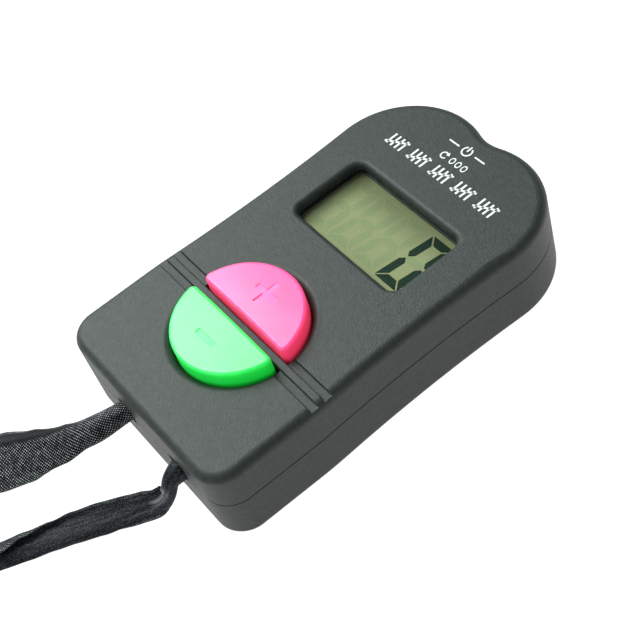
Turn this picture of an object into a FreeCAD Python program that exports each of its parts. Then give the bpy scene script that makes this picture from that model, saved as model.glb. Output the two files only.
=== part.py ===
import FreeCAD, Part
import math
import os
import Sketcher
from FreeCAD import Placement, Rotation, Vector

# Electronic hand tally counter, lying on its back: +X is the device's right, +Y points to the end
# with the notch and the reset button, +Z points out of the face. The origin is on the surface it
# lies on, at the middle of the case. All sizes are in millimetres.

DIMENSIONS = [
    # plan outline of the case
    ("case_length", 68.1, "bottom end to the tops of the two lobes"),
    ("half_width", 20.0, "half width of the straight lower part"),
    ("corner_round", 4.6, "corners of the bottom end"),
    ("hip_round", 60.0, "convex bend above the straight part"),
    ("waist_half", 19.33, "half width at the waist"),
    ("waist_round", 300.0, "long hollow of the waist"),
    ("shoulder_round", 13.3, "shoulder and lobe"),
    ("lobe_x", 6.5, "shoulder centre from the middle"),
    ("notch_round", 7.2, "hollow between the lobes"),
    # case in depth
    ("case_depth", 14.8, "back to face"),
    ("parting", 8.0, "height of the parting line"),
    ("wall", 1.6, "side walls"),
    ("roof", 1.5, "face thickness"),
    ("floor", 1.5, "back thickness"),
    ("front_round", 1.5, "edge of the face"),
    ("back_round", 1.3, "edge of the back"),
    ("bevel", 0.12, "parting line bevel"),
    ("no_inset", 0.0, "outline at full size"),
    ("rebate_inset", 0.85, "front case rebate from the outside"),
    ("rebate_depth", 0.9, "front case rebate above the parting line"),
    ("tongue_inset", 0.95, "back case tongue from the outside"),
    ("tongue_rise", 0.8, "back case tongue above the parting line"),
    # face: window, channels, button well
    ("window_x", 24.0, "window opening"),
    ("window_y", 13.0, "window opening"),
    ("window_mid", 10.58, "window centre along the case"),
    ("window_corner", 1.6, "window corners"),
    ("window_lip", 0.9, "rounded lip"),
    ("channel_width", 1.24, "each of two channels, and the rib between them"),
    ("channel_depth", 0.55, "channel below the face"),
    ("channel_lip", 0.22, "rounded lips of the channels"),
    ("well_mid", -14.72, "button circle along the case"),
    ("well_radius", 10.45, "button opening"),
    ("well_lip", 1.2, "rounded lip"),
    # screws
    ("boss_radius", 2.4, "case screw boss"),
    ("case_screw_radius", 0.95, "thread"),
    ("case_pilot_radius", 1.0, "hole for the thread"),
    ("case_hole_radius", 1.15, "clearance hole"),
    ("case_sink_radius", 1.95, "counterbore"),
    ("case_sink_depth", 4.4, "counterbore from the back"),
    ("case_head_radius", 1.75, "head"),
    ("case_head_height", 1.5, "head"),
    ("case_screw_length", 7.2, "under the head"),
    ("board_boss_radius", 1.9, "board screw boss"),
    ("board_screw_radius", 0.7, "thread"),
    ("board_pilot_radius", 0.75, "hole for the thread"),
    ("board_head_radius", 1.4, "head"),
    ("board_head_height", 0.9, "head"),
    ("board_screw_length", 3.4, "under the head"),
    # lanyard slots in the bottom end
    ("slot_width", 3.8, "slot"),
    ("slot_height", 3.6, "slot, across the parting line"),
    ("slot_mid", 7.8, "middle of the slot above the back"),
    # two count buttons
    ("button_radius", 10.2, "half-round cap"),
    ("button_top", 16.75, "cap edge above the back"),
    ("button_crown", 0.4, "middle of the cap above its edge"),
    ("button_edge", 0.5, "rounded edge"),
    ("button_gap", 0.85, "flat side from the middle of the rib"),
    ("button_tip", 0.9, "rounded tips"),
    ("flange_radius", 11.2, "flange under the face"),
    ("flange_low", 12.2, "flange underside"),
    ("flange_high", 13.1, "flange top"),
    ("sign_size", 4.5, "plus and minus signs"),
    ("sign_line", 0.9, "stroke of a sign"),
    ("sign_drop", 0.28, "sign floor below the middle of the crown"),
    ("sign_reach", 5.5, "sign from the middle of the rib"),
    # rubber dome under each count button
    ("dome_foot_radius", 3.9, "foot on the board"),
    ("dome_foot", 0.5, "foot thickness"),
    ("dome_base_radius", 3.2, "cone at the foot"),
    ("dome_top_radius", 2.0, "cone at the crown, and the crown"),
    ("dome_cone", 1.5, "cone height"),
    ("dome_wall", 0.45, "cone wall"),
    ("dome_play", 0.05, "air between crown and button"),
    # board and display
    ("board_low", 8.4, "board underside"),
    ("board_thick", 1.2, "board"),
    ("board_half", 16.8, "half width"),
    ("board_start", -24.0, "lower end"),
    ("board_step", 20.9, "start of the narrow head"),
    ("board_end", 28.5, "upper end"),
    ("board_head_half", 10.6, "half width of the head"),
    ("lens_gap", 0.1, "lens inside the window"),
    ("lens_drop", 0.4, "lens below the face"),
    ("lens_flange", 1.3, "flange beyond the window"),
    ("lens_flange_low", 12.9, "flange underside"),
    ("glass_x", 28.4, "panel"),
    ("glass_y", 17.6, "front glass"),
    ("glass_back_y", 15.0, "back glass, short at the contact ledge"),
    ("glass_thick", 1.1, "each glass"),
    ("glass_top", 12.6, "panel surface"),
    ("frame_x", 31.0, "panel frame"),
    ("frame_y", 20.2, "panel frame"),
    ("frame_low", 9.65, "frame underside"),
    ("frame_high", 12.85, "frame top"),
    ("frame_lip", 0.2, "frame over the glass"),
    ("frame_open_x", 23.8, "frame opening"),
    ("frame_open_y", 12.5, "frame opening"),
    ("fit_gap", 0.1, "clearance between parts laid side by side"),
    ("zebra_x", 25.0, "rubber connector"),
    ("zebra_y", 1.8, "rubber connector"),
    # parts under the board
    ("blob_height", 1.5, "resin over the chip"),
    ("blob_x", 4.6, "resin half width"),
    ("blob_y", 4.2, "resin half length"),
    ("crystal_radius", 1.0, "crystal can"),
    ("crystal_length", 6.0, "crystal can"),
    ("resistor_x", 1.6, "resistor"),
    ("resistor_y", 0.8, "resistor"),
    ("resistor_z", 0.5, "resistor"),
    ("capacitor_radius", 2.0, "capacitor can"),
    ("capacitor_height", 4.2, "capacitor can"),
    # battery
    ("cell_radius", 5.8, "button cell"),
    ("cell_height", 5.4, "button cell"),
    ("cell_low", 1.1, "underside of the cell"),
    ("cell_mid", -7.0, "cell along the case"),
    ("cell_well_inner", 6.05, "well inside the back"),
    ("cell_well_outer", 7.2, "well inside the back"),
    ("cell_well_top", 6.0, "well inside the back"),
    ("door_half", 8.5, "battery door half width"),
    ("door_start", -15.0, "battery door"),
    ("door_end", 6.0, "battery door"),
    ("door_thick", 0.95, "battery door"),
    ("door_gap", 0.12, "round the door"),
    ("door_screw_y", 3.4, "door screw along the case"),
    ("door_corner", 2.0, "door corners"),
    ("tab_half", 2.8, "door tab half width"),
    ("tab_thick", 0.7, "door tab"),
    ("tab_reach", 2.4, "door tab along the case"),
    ("grip_first", -13.2, "first finger groove along the case"),
    ("grip_pitch", 1.5, "between finger grooves"),
    ("grip_length", 9.0, "finger groove"),
    ("grip_width", 0.6, "finger groove"),
    ("grip_depth", 0.3, "finger groove"),
    # reset button and its switch
    ("reset_half", 3.4, "reset button half width"),
    ("reset_half_height", 1.4, "reset button half height"),
    ("reset_face", 33.85, "reset button face along the case"),
    ("reset_round", 0.6, "reset button edges"),
    ("reset_flange_half", 4.4, "flange half width"),
    ("reset_flange_height", 2.2, "flange half height"),
    ("reset_flange_start", 29.9, "flange"),
    ("reset_flange_end", 31.1, "flange"),
    ("switch_start", 25.0, "switch body"),
    ("switch_end", 28.6, "switch body"),
    ("switch_low", 4.9, "switch underside"),
    ("plunger_radius", 1.0, "switch plunger"),
    ("plunger_height", 6.9, "plunger above the back"),
    ("plunger_start", 28.0, "inner end of the plunger"),
    # lanyard
    ("cord_radius", 1.4, "ribbon gathered to a round"),
    ("knot_mid", -29.8, "knots along the case"),
    ("knot_height", 2.1, "knot half height"),
    ("knot_half", 2.6, "knot half width"),
    ("knot_depth", 1.9, "knot half length"),
    ("coil_radius", 46.5, "middle of the coiled ribbon"),
    ("coil_half", 3.2, "half thickness of the coil"),
    ("coil_height", 10.7, "ribbon standing on its edge"),
    ("tie_width", 5.0, "tie round the coil"),
    ("tie_thick", 0.4, "tie round the coil"),
]

CASE_BOSSES = [(-14.6, -28.6), (14.6, -28.6), (-13.6, 25.6), (13.6, 25.6)]
BOARD_BOSSES = [(-14.5, -6.0), (14.5, -6.0)]
GRIP_COUNT = 4
RESISTORS = [(-9, 4), (-9, 8), (-9, 12), (8, 16), (-4, 19)]
SLOT_PLACES = [-5.6, 8.4]
COIL_MIDDLE = (-6.4, -117.4)
# Part of the shorter of two straight runs that the arc between them may use.
ARC_SHARE = 0.45

# Each strand leaves its slot, drops to the surface and runs to the coil.
STRAND_A = [
    (-5.6, -31.5, 7.9),
    (-6.4, -37.0, 7.4),
    (-9.5, -42.0, 4.6),
    (-14.2, -48.4, 2.0),
    (-21.0, -57.5, 1.5),
    (-29.5, -68.3, 2.8),
    (-36.5, -77.0, 4.0),
]
STRAND_B = [
    (8.4, -31.5, 7.9),
    (8.3, -36.3, 7.2),
    (7.2, -39.3, 3.0),
    (5.2, -43.4, 1.5),
    (1.6, -49.6, 1.5),
    (-2.8, -58.0, 1.5),
    (-6.4, -66.6, 2.2),
]

doc = FreeCAD.newDocument("TallyCounter")
sheet = doc.addObject("Spreadsheet::Sheet", "Dims")
nodes = []


def fill_sheet():
    for row, (alias, value, note) in enumerate(DIMENSIONS, start=1):
        sheet.set(f"A{row}", note)
        sheet.set(f"B{row}", str(value))
        sheet.setAlias(f"B{row}", alias)
    doc.recompute()


def size(alias):
    return float(sheet.get(alias))


# ---------------------------------------------------------------- sketches and features


def new_body(label):
    body = doc.addObject("PartDesign::Body", label)
    nodes.append(body)
    return body


def new_sketch(body, name, height, role="XY_Plane"):
    sketch = body.newObject("Sketcher::SketchObject", body.Label + "_" + name)
    plane = next(item for item in body.Origin.OriginFeatures if item.Role == role)
    sketch.AttachmentSupport = [(plane, "")]
    sketch.MapMode = "FlatFace"
    sketch.setExpression("AttachmentOffset.Base.z", height)
    return sketch


def bind(sketch, constraint, name, expression):
    index = sketch.addConstraint(constraint)
    sketch.renameConstraint(index, name)
    sketch.setExpression("Constraints." + name, expression)


def arc(centre, radius, start, end):
    circle = Part.Circle(Vector(centre[0], centre[1], 0), Vector(0, 0, 1), radius)
    return Part.ArcOfCircle(circle, start, end)


def half_outline(body, name, height, inset):
    """Right half of the case's plan outline, drawn smaller by the named inset."""
    sketch = new_sketch(body, name, height)
    gap = size(inset)
    end = size("case_length") / 2
    side = size("half_width")
    corner = (side - size("corner_round"), size("corner_round") - end)
    shoulder = (size("lobe_x"), end - size("shoulder_round"))
    notch_reach = size("shoulder_round") + size("notch_round")
    notch = (0.0, shoulder[1] + math.sqrt(notch_reach**2 - shoulder[0] ** 2))
    waist_x = size("waist_half") + size("waist_round")
    waist_reach = size("waist_round") + size("shoulder_round")
    waist = (waist_x, shoulder[1] - math.sqrt(waist_reach**2 - (waist_x - shoulder[0]) ** 2))
    hip_x = side - size("hip_round")
    hip_reach = size("waist_round") + size("hip_round")
    hip = (hip_x, waist[1] - math.sqrt(hip_reach**2 - (waist_x - hip_x) ** 2))
    rounds = {
        "corner": size("corner_round") - gap,
        "hip": size("hip_round") - gap,
        "waist": size("waist_round") + gap,
        "shoulder": size("shoulder_round") - gap,
        "notch": size("notch_round") + gap,
    }
    to_waist = math.atan2(waist[1] - hip[1], waist[0] - hip[0])
    to_shoulder = math.atan2(shoulder[1] - waist[1], shoulder[0] - waist[0])
    to_notch = math.atan2(notch[1] - shoulder[1], notch[0] - shoulder[0])
    low = -end + gap
    floor_of_notch = notch[1] - rounds["notch"]
    geometry = [
        Part.LineSegment(Vector(0, low, 0), Vector(corner[0], low, 0)),
        arc(corner, rounds["corner"], -math.pi / 2, 0),
        Part.LineSegment(Vector(side - gap, corner[1], 0), Vector(side - gap, hip[1], 0)),
        arc(hip, rounds["hip"], 0, to_waist),
        arc(waist, rounds["waist"], to_shoulder, to_waist + math.pi),
        arc(shoulder, rounds["shoulder"], to_shoulder - math.pi, to_notch),
        arc(notch, rounds["notch"], -math.pi / 2, to_notch - math.pi),
        Part.LineSegment(Vector(0, floor_of_notch, 0), Vector(0, low, 0)),
    ]
    sketch.addGeometry(geometry, False)
    link_half_outline(sketch, inset)
    return sketch


def link_half_outline(sketch, inset):
    bottom, corner, side, hip, waist, shoulder, notch, axis = range(8)
    first, last, centre = 1, 2, 3
    origin, y_axis = (-1, 1), -2
    joints = [
        (bottom, last, corner, first),
        (corner, last, side, first),
        (side, last, hip, first),
        (hip, last, waist, last),
        (waist, first, shoulder, first),
        (shoulder, last, notch, last),
    ]
    for joint in joints:
        sketch.addConstraint(Sketcher.Constraint("Tangent", *joint))
    sketch.addConstraint(Sketcher.Constraint("Coincident", notch, first, axis, first))
    sketch.addConstraint(Sketcher.Constraint("Coincident", axis, last, bottom, first))
    for item, point in [(axis, first), (axis, last), (notch, centre)]:
        sketch.addConstraint(Sketcher.Constraint("PointOnObject", item, point, y_axis))
    sketch.addConstraint(Sketcher.Constraint("Horizontal", bottom))
    sketch.addConstraint(Sketcher.Constraint("Vertical", side))
    gap = size(inset)
    rounds = [
        (corner, "corner_round", -1),
        (hip, "hip_round", -1),
        (waist, "waist_round", 1),
        (shoulder, "shoulder_round", -1),
        (notch, "notch_round", 1),
    ]
    for item, alias, sign in rounds:
        radius = Sketcher.Constraint("Radius", item, size(alias) + sign * gap)
        bind(sketch, radius, alias, f"Dims.{alias} + {sign} * Dims.{inset}")
    end = size("case_length") / 2
    places = [
        ("DistanceX", (*origin, shoulder, centre), size("lobe_x"), "lobe_at", "Dims.lobe_x"),
        (
            "DistanceY",
            (*origin, shoulder, centre),
            end - size("shoulder_round"),
            "shoulder_at",
            "Dims.case_length / 2 - Dims.shoulder_round",
        ),
        (
            "DistanceX",
            (*origin, waist, centre),
            size("waist_half") + size("waist_round"),
            "waist_at",
            "Dims.waist_half + Dims.waist_round",
        ),
        (
            "DistanceX",
            (*origin, side, first),
            size("half_width") - gap,
            "side_at",
            f"Dims.half_width - Dims.{inset}",
        ),
        (
            "DistanceY",
            (bottom, first, *origin),
            end - gap,
            "bottom_at",
            f"Dims.case_length / 2 - Dims.{inset}",
        ),
    ]
    for kind, points, value, name, expression in places:
        bind(sketch, Sketcher.Constraint(kind, *points, value), name, expression)


def add_rectangle(sketch, name, centre, extent):
    """A rectangle by its centre and extent, each a pair of expressions."""
    start = sketch.GeometryCount
    corners = [Vector(0, 0, 0), Vector(1, 0, 0), Vector(1, 1, 0), Vector(0, 1, 0)]
    for index in range(4):
        line = Part.LineSegment(corners[index], corners[(index + 1) % 4])
        sketch.addGeometry(line, False)
    for index in range(4):
        after = start + (index + 1) % 4
        sketch.addConstraint(Sketcher.Constraint("Coincident", start + index, 2, after, 1))
        direction = "Horizontal" if index % 2 == 0 else "Vertical"
        sketch.addConstraint(Sketcher.Constraint(direction, start + index))
    left = f"{centre[0]} - ({extent[0]}) / 2"
    low = f"{centre[1]} - ({extent[1]}) / 2"
    sizes = [
        ("DistanceX", (start, 1, start, 2), "_x", extent[0]),
        ("DistanceY", (start + 1, 1, start + 1, 2), "_y", extent[1]),
        ("DistanceX", (-1, 1, start, 1), "_left", left),
        ("DistanceY", (-1, 1, start, 1), "_low", low),
    ]
    for kind, points, ending, expression in sizes:
        bind(sketch, Sketcher.Constraint(kind, *points, 1.0), name + ending, expression)


def add_circle(sketch, name, centre, radius):
    index = sketch.addGeometry(Part.Circle(Vector(*centre, 0), Vector(0, 0, 1), 1.0), False)
    bind(sketch, Sketcher.Constraint("Radius", index, 1.0), name + "_r", radius)
    for kind, value, ending in [("DistanceX", centre[0], "_x"), ("DistanceY", centre[1], "_y")]:
        bind(sketch, Sketcher.Constraint(kind, -1, 1, index, 3, value), name + ending, f"{value}")


def add_half_moon(sketch, name, side):
    """Half of the button well: side is 1 above the rib and -1 below it."""
    middle = size("well_mid")
    radius = size("well_radius")
    offset = size("channel_width") / 2
    tip = math.asin(offset / radius)
    start, end = (tip, math.pi - tip) if side > 0 else (math.pi + tip, 2 * math.pi - tip)
    curve = sketch.addGeometry(arc((0, middle), radius, start, end), False)
    reach = radius * math.cos(tip)
    height = middle + side * offset
    ends = [Vector(-side * reach, height, 0), Vector(side * reach, height, 0)]
    chord = sketch.addGeometry(Part.LineSegment(*ends), False)
    sketch.addConstraint(Sketcher.Constraint("Coincident", curve, 2, chord, 1))
    sketch.addConstraint(Sketcher.Constraint("Coincident", chord, 2, curve, 1))
    sketch.addConstraint(Sketcher.Constraint("PointOnObject", curve, 3, -2))
    sketch.addConstraint(Sketcher.Constraint("Horizontal", chord))
    bind(sketch, Sketcher.Constraint("Radius", curve, radius), name + "_r", "Dims.well_radius")
    centre = Sketcher.Constraint("DistanceY", -1, 1, curve, 3, middle)
    bind(sketch, centre, name + "_mid", "Dims.well_mid")
    edge = Sketcher.Constraint("DistanceY", -1, 1, chord, 1, height)
    bind(sketch, edge, name + "_edge", f"Dims.well_mid + {side} * Dims.channel_width / 2")


def pad(body, name, sketch, length):
    feature = body.newObject("PartDesign::Pad", body.Label + "_" + name)
    feature.Profile = sketch
    feature.setExpression("Length", length)
    doc.recompute()
    return feature


def pocket(body, name, sketch, length):
    """Cuts downwards from the sketch, and checks that something was cut."""
    feature = body.newObject("PartDesign::Pocket", body.Label + "_" + name)
    feature.Profile = sketch
    feature.setExpression("Length", length)
    doc.recompute()
    if feature.Shape.Volume > feature.BaseFeature.Shape.Volume - 0.01:
        raise RuntimeError(feature.Label + " cut nothing")
    return feature


def edges_at(shape, height, keep):
    """Names of the edges that lie flat at a height and pass the test keep(edge)."""
    found = []
    for index, edge in enumerate(shape.Edges, start=1):
        box = edge.BoundBox
        if abs(box.ZMin - height) < 1e-4 and abs(box.ZMax - height) < 1e-4 and keep(edge):
            found.append(f"Edge{index}")
    return found


def round_edges(body, name, edges, radius, kind="PartDesign::Fillet"):
    base = body.Tip
    feature = body.newObject(kind, body.Label + "_" + name)
    feature.Base = (base, edges)
    feature.setExpression("Radius" if kind.endswith("Fillet") else "Size", radius)
    doc.recompute()
    return feature


def mirror(body):
    plane = next(item for item in body.Origin.OriginFeatures if item.Role == "YZ_Plane")
    half = body.Tip.Shape.Volume
    feature = body.newObject("PartDesign::Mirrored", body.Label + "_mirror")
    feature.TransformMode = "Whole shape"
    feature.MirrorPlane = (plane, [""])
    body.Tip = feature
    doc.recompute()
    if abs(feature.Shape.Volume - 2 * half) > 0.01:
        raise RuntimeError(body.Label + " was not mirrored")


def off_axis(edge):
    return edge.BoundBox.XMax > 0.01


# ---------------------------------------------------------------- primitives


def primitive(kind, name, sizes, place, turn=None):
    """A Part primitive with its sizes and place bound to expressions."""
    solid = doc.addObject(kind, name)
    for key, expression in sizes.items():
        solid.setExpression(key, expression)
    if turn:
        solid.Placement = Placement(Vector(), turn)
    for axis, expression in zip("xyz", place):
        solid.setExpression("Placement.Base." + axis, expression)
    return solid


def block(name, middle, low, extent):
    """A box by its plan centre, its underside and its three sizes."""
    sizes = {"Length": extent[0], "Width": extent[1], "Height": extent[2]}
    place = (f"{middle[0]} - ({extent[0]}) / 2", f"{middle[1]} - ({extent[1]}) / 2", low)
    return primitive("Part::Box", name, sizes, place)


def post(name, middle, low, radius, height):
    return primitive("Part::Cylinder", name, {"Radius": radius, "Height": height}, (*middle, low))


def rod_along_y(name, start, radius, length):
    turn = Rotation(Vector(1, 0, 0), -90)
    return primitive("Part::Cylinder", name, {"Radius": radius, "Height": length}, start, turn)


def cut(name, base, tool):
    result = doc.addObject("Part::Cut", name)
    result.Base = base
    result.Tool = tool
    return result


def fuse(name, parts):
    result = doc.addObject("Part::MultiFuse", name)
    result.Shapes = parts
    return result


def group(name, parts):
    result = doc.addObject("Part::Compound", name)
    result.Links = parts
    return result


def soften(name, base, radius, keep):
    """Rounds the edges of a solid that pass the test keep(edge)."""
    doc.recompute()
    result = doc.addObject("Part::Fillet", name)
    result.Base = base
    chosen = [index for index, edge in enumerate(base.Shape.Edges, start=1) if keep(edge)]
    result.Edges = [(index, size(radius), size(radius)) for index in chosen]
    return result


def keep_node(item):
    nodes.append(item)
    return item


# ---------------------------------------------------------------- case


def front_case():
    body = new_body("front_case")
    shell = half_outline(body, "plan", "Dims.parting", "no_inset")
    pad(body, "shell", shell, "Dims.case_depth - Dims.parting")
    face_edges = edges_at(body.Tip.Shape, size("case_depth"), off_axis)
    round_edges(body, "face_round", face_edges, "Dims.front_round")
    rim_edges = edges_at(body.Tip.Shape, size("parting"), off_axis)
    round_edges(body, "rim_bevel", rim_edges, "Dims.bevel", "PartDesign::Chamfer")
    hollow = half_outline(body, "hollow_plan", "Dims.case_depth - Dims.roof", "wall")
    pocket(body, "hollow", hollow, "Dims.case_depth - Dims.roof - Dims.parting")
    rebate = half_outline(body, "rebate_plan", "Dims.parting + Dims.rebate_depth", "rebate_inset")
    pocket(body, "rebate", rebate, "Dims.rebate_depth")
    mirror(body)
    cut_window(body)
    cut_button_well(body)
    cut_channels(body)
    add_front_bosses(body)
    cut_end_openings(body)


def cut_window(body):
    sketch = new_sketch(body, "window_plan", "Dims.case_depth")
    add_rectangle(sketch, "window", ("0", "Dims.window_mid"), ("Dims.window_x", "Dims.window_y"))
    pocket(body, "window", sketch, "Dims.roof")
    corners = upright_edges(body.Tip.Shape, size("window_x") / 2, size("window_mid"), size("window_y") / 2)
    round_edges(body, "window_corners", corners, "Dims.window_corner")

    def on_window(edge):
        box = edge.BoundBox
        inside = max(abs(box.XMin), abs(box.XMax)) < size("window_x") / 2 + 0.1
        return inside and box.YMin > size("window_mid") - size("window_y") / 2 - 0.1

    lip = edges_at(body.Tip.Shape, size("case_depth"), on_window)
    round_edges(body, "window_lip", lip, "Dims.window_lip")


def upright_edges(shape, half_x, middle_y, half_y):
    found = []
    for index, edge in enumerate(shape.Edges, start=1):
        box = edge.BoundBox
        at_corner = abs(abs(box.XMin) - half_x) < 1e-3 and abs(abs(box.YMin - middle_y) - half_y) < 1e-3
        if at_corner and box.XLength < 1e-3 and box.YLength < 1e-3:
            found.append(f"Edge{index}")
    return found


def cut_button_well(body):
    sketch = new_sketch(body, "well_plan", "Dims.case_depth")
    add_half_moon(sketch, "upper", 1)
    add_half_moon(sketch, "lower", -1)
    pocket(body, "well", sketch, "Dims.roof")

    def on_well_arc(edge):
        curve = edge.Curve
        is_arc = curve.TypeId == "Part::GeomCircle"
        return is_arc and abs(curve.Radius - size("well_radius")) < 1e-3

    lip = edges_at(body.Tip.Shape, size("case_depth"), on_well_arc)
    round_edges(body, "well_lip", lip, "Dims.well_lip")


def cut_channels(body):
    """Two channels across the face, with the rib of the button well between them."""
    sketch = new_sketch(body, "channel_plan", "Dims.case_depth")
    for side, name in [(1, "upper"), (-1, "lower")]:
        centre = ("0", f"Dims.well_mid + {side} * Dims.channel_width")
        add_rectangle(sketch, name, centre, ("Dims.half_width * 2 + 2", "Dims.channel_width"))
    pocket(body, "channels", sketch, "Dims.channel_depth")
    walls = [size("well_mid") + side * size("channel_width") / 2 for side in (-3, -1, 1, 3)]

    def on_channel_wall(edge):
        box = edge.BoundBox
        return box.YLength < 1e-4 and any(abs(box.YMin - wall) < 1e-3 for wall in walls)

    lips = edges_at(body.Tip.Shape, size("case_depth"), on_channel_wall)
    round_edges(body, "channel_lips", lips, "Dims.channel_lip")


def add_front_bosses(body):
    """Posts hang from the underside of the face, and each holds the thread of a screw."""
    screw_top = "Dims.case_sink_depth + Dims.case_screw_length + 0.4"
    under_face = "Dims.case_depth - Dims.roof"
    posts = new_sketch(body, "boss_plan", "Dims.parting")
    pilots = new_sketch(body, "pilot_plan", screw_top)
    for index, place in enumerate(CASE_BOSSES):
        add_circle(posts, f"boss{index}", place, "Dims.boss_radius")
        add_circle(pilots, f"pilot{index}", place, "Dims.case_pilot_radius")
    pad(body, "bosses", posts, f"{under_face} - Dims.parting")
    board_posts = new_sketch(body, "board_boss_plan", "Dims.frame_low")
    board_pilots = new_sketch(body, "board_pilot_plan", "Dims.board_low + Dims.board_screw_length + 0.2")
    for index, place in enumerate(BOARD_BOSSES):
        add_circle(board_posts, f"boss{index}", place, "Dims.board_boss_radius")
        add_circle(board_pilots, f"pilot{index}", place, "Dims.board_pilot_radius")
    pad(body, "board_bosses", board_posts, f"{under_face} - Dims.frame_low")
    pocket(body, "pilots", pilots, f"{screw_top} - Dims.parting")
    pocket(body, "board_pilots", board_pilots, "Dims.board_screw_length + 0.2")


def cut_end_openings(body):
    """The two lanyard slots in the bottom end and the reset opening in the notch."""
    slots = new_sketch(body, "slot_plan", "Dims.slot_mid + Dims.slot_height / 2")
    for index, place in enumerate(SLOT_PLACES):
        centre = (f"{place}", "-Dims.case_length / 2")
        add_rectangle(slots, f"slot{index}", centre, ("Dims.slot_width", "Dims.wall * 2 + 1"))
    pocket(body, "slots", slots, "Dims.slot_height")
    half_height = "(Dims.reset_half_height + Dims.fit_gap)"
    reset = new_sketch(body, "reset_plan", f"Dims.parting + {half_height}")
    centre = ("0", "Dims.reset_face - 1")
    add_rectangle(reset, "reset", centre, ("2 * (Dims.reset_half + Dims.fit_gap)", "5"))
    pocket(body, "reset_opening", reset, f"2 * {half_height}")


def back_case():
    body = new_body("back_case")
    shell = half_outline(body, "plan", "0", "no_inset")
    pad(body, "shell", shell, "Dims.parting")
    back_edges = edges_at(body.Tip.Shape, 0, off_axis)
    round_edges(body, "back_round", back_edges, "Dims.back_round")
    rim_edges = edges_at(body.Tip.Shape, size("parting"), off_axis)
    round_edges(body, "rim_bevel", rim_edges, "Dims.bevel", "PartDesign::Chamfer")
    tongue = half_outline(body, "tongue_plan", "Dims.parting", "tongue_inset")
    pad(body, "tongue", tongue, "Dims.tongue_rise")
    hollow = half_outline(body, "hollow_plan", "Dims.parting + Dims.tongue_rise", "wall")
    pocket(body, "hollow", hollow, "Dims.parting + Dims.tongue_rise - Dims.floor")
    mirror(body)
    add_back_bosses(body)
    add_battery_well(body)
    cut_end_openings(body)


def add_back_bosses(body):
    posts = new_sketch(body, "boss_plan", "Dims.floor")
    holes = new_sketch(body, "hole_plan", "Dims.parting")
    sinks = new_sketch(body, "sink_plan", "Dims.case_sink_depth")
    for index, place in enumerate(CASE_BOSSES):
        add_circle(posts, f"boss{index}", place, "Dims.boss_radius")
        add_circle(holes, f"hole{index}", place, "Dims.case_hole_radius")
        add_circle(sinks, f"sink{index}", place, "Dims.case_sink_radius")
    pad(body, "bosses", posts, "Dims.parting - Dims.floor - 0.05")
    pocket(body, "holes", holes, "Dims.parting")
    pocket(body, "sinks", sinks, "Dims.case_sink_depth")


def add_battery_well(body):
    """Round well for the cell, the recess of its door and the post of the door screw."""
    wall = new_sketch(body, "well_wall_plan", "Dims.floor")
    add_circle(wall, "well", (0, size("cell_mid")), "Dims.cell_well_outer")
    pad(body, "well_wall", wall, "Dims.cell_well_top - Dims.floor")
    screw_post = new_sketch(body, "door_post_plan", "Dims.floor")
    add_circle(screw_post, "post", (0, size("door_screw_y")), "Dims.board_boss_radius")
    pad(body, "door_post", screw_post, "Dims.cell_well_top - Dims.floor")
    bore = new_sketch(body, "well_bore_plan", "Dims.cell_well_top")
    add_circle(bore, "bore", (0, size("cell_mid")), "Dims.cell_well_inner")
    pocket(body, "well_bore", bore, "Dims.cell_well_top")
    pilot = new_sketch(body, "door_pilot_plan", "Dims.cell_well_top - 0.5")
    add_circle(pilot, "pilot", (0, size("door_screw_y")), "Dims.board_pilot_radius")
    pocket(body, "door_pilot", pilot, "Dims.cell_well_top")
    contact = new_sketch(body, "contact_plan", "Dims.cell_well_top")
    add_rectangle(contact, "contact", ("Dims.cell_well_outer - 0.5", "Dims.cell_mid"), ("2", "2.8"))
    pocket(body, "contact_gap", contact, "Dims.cell_well_top - 2.5")
    recess = new_sketch(body, "door_recess_plan", "Dims.door_thick + 0.03")
    middle = "(Dims.door_start + Dims.door_end) / 2"
    extent = ("(Dims.door_half + Dims.door_gap) * 2", "Dims.door_end - Dims.door_start + 2 * Dims.door_gap")
    add_rectangle(recess, "recess", ("0", middle), extent)
    pocket(body, "door_recess", recess, "2")
    notch = new_sketch(body, "tab_notch_plan", "Dims.floor + 0.5")
    add_rectangle(notch, "notch", ("0", "Dims.door_start + 0.05"), ("Dims.tab_half * 2 + 0.3", "1.6"))
    pocket(body, "tab_notch", notch, "3")


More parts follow.
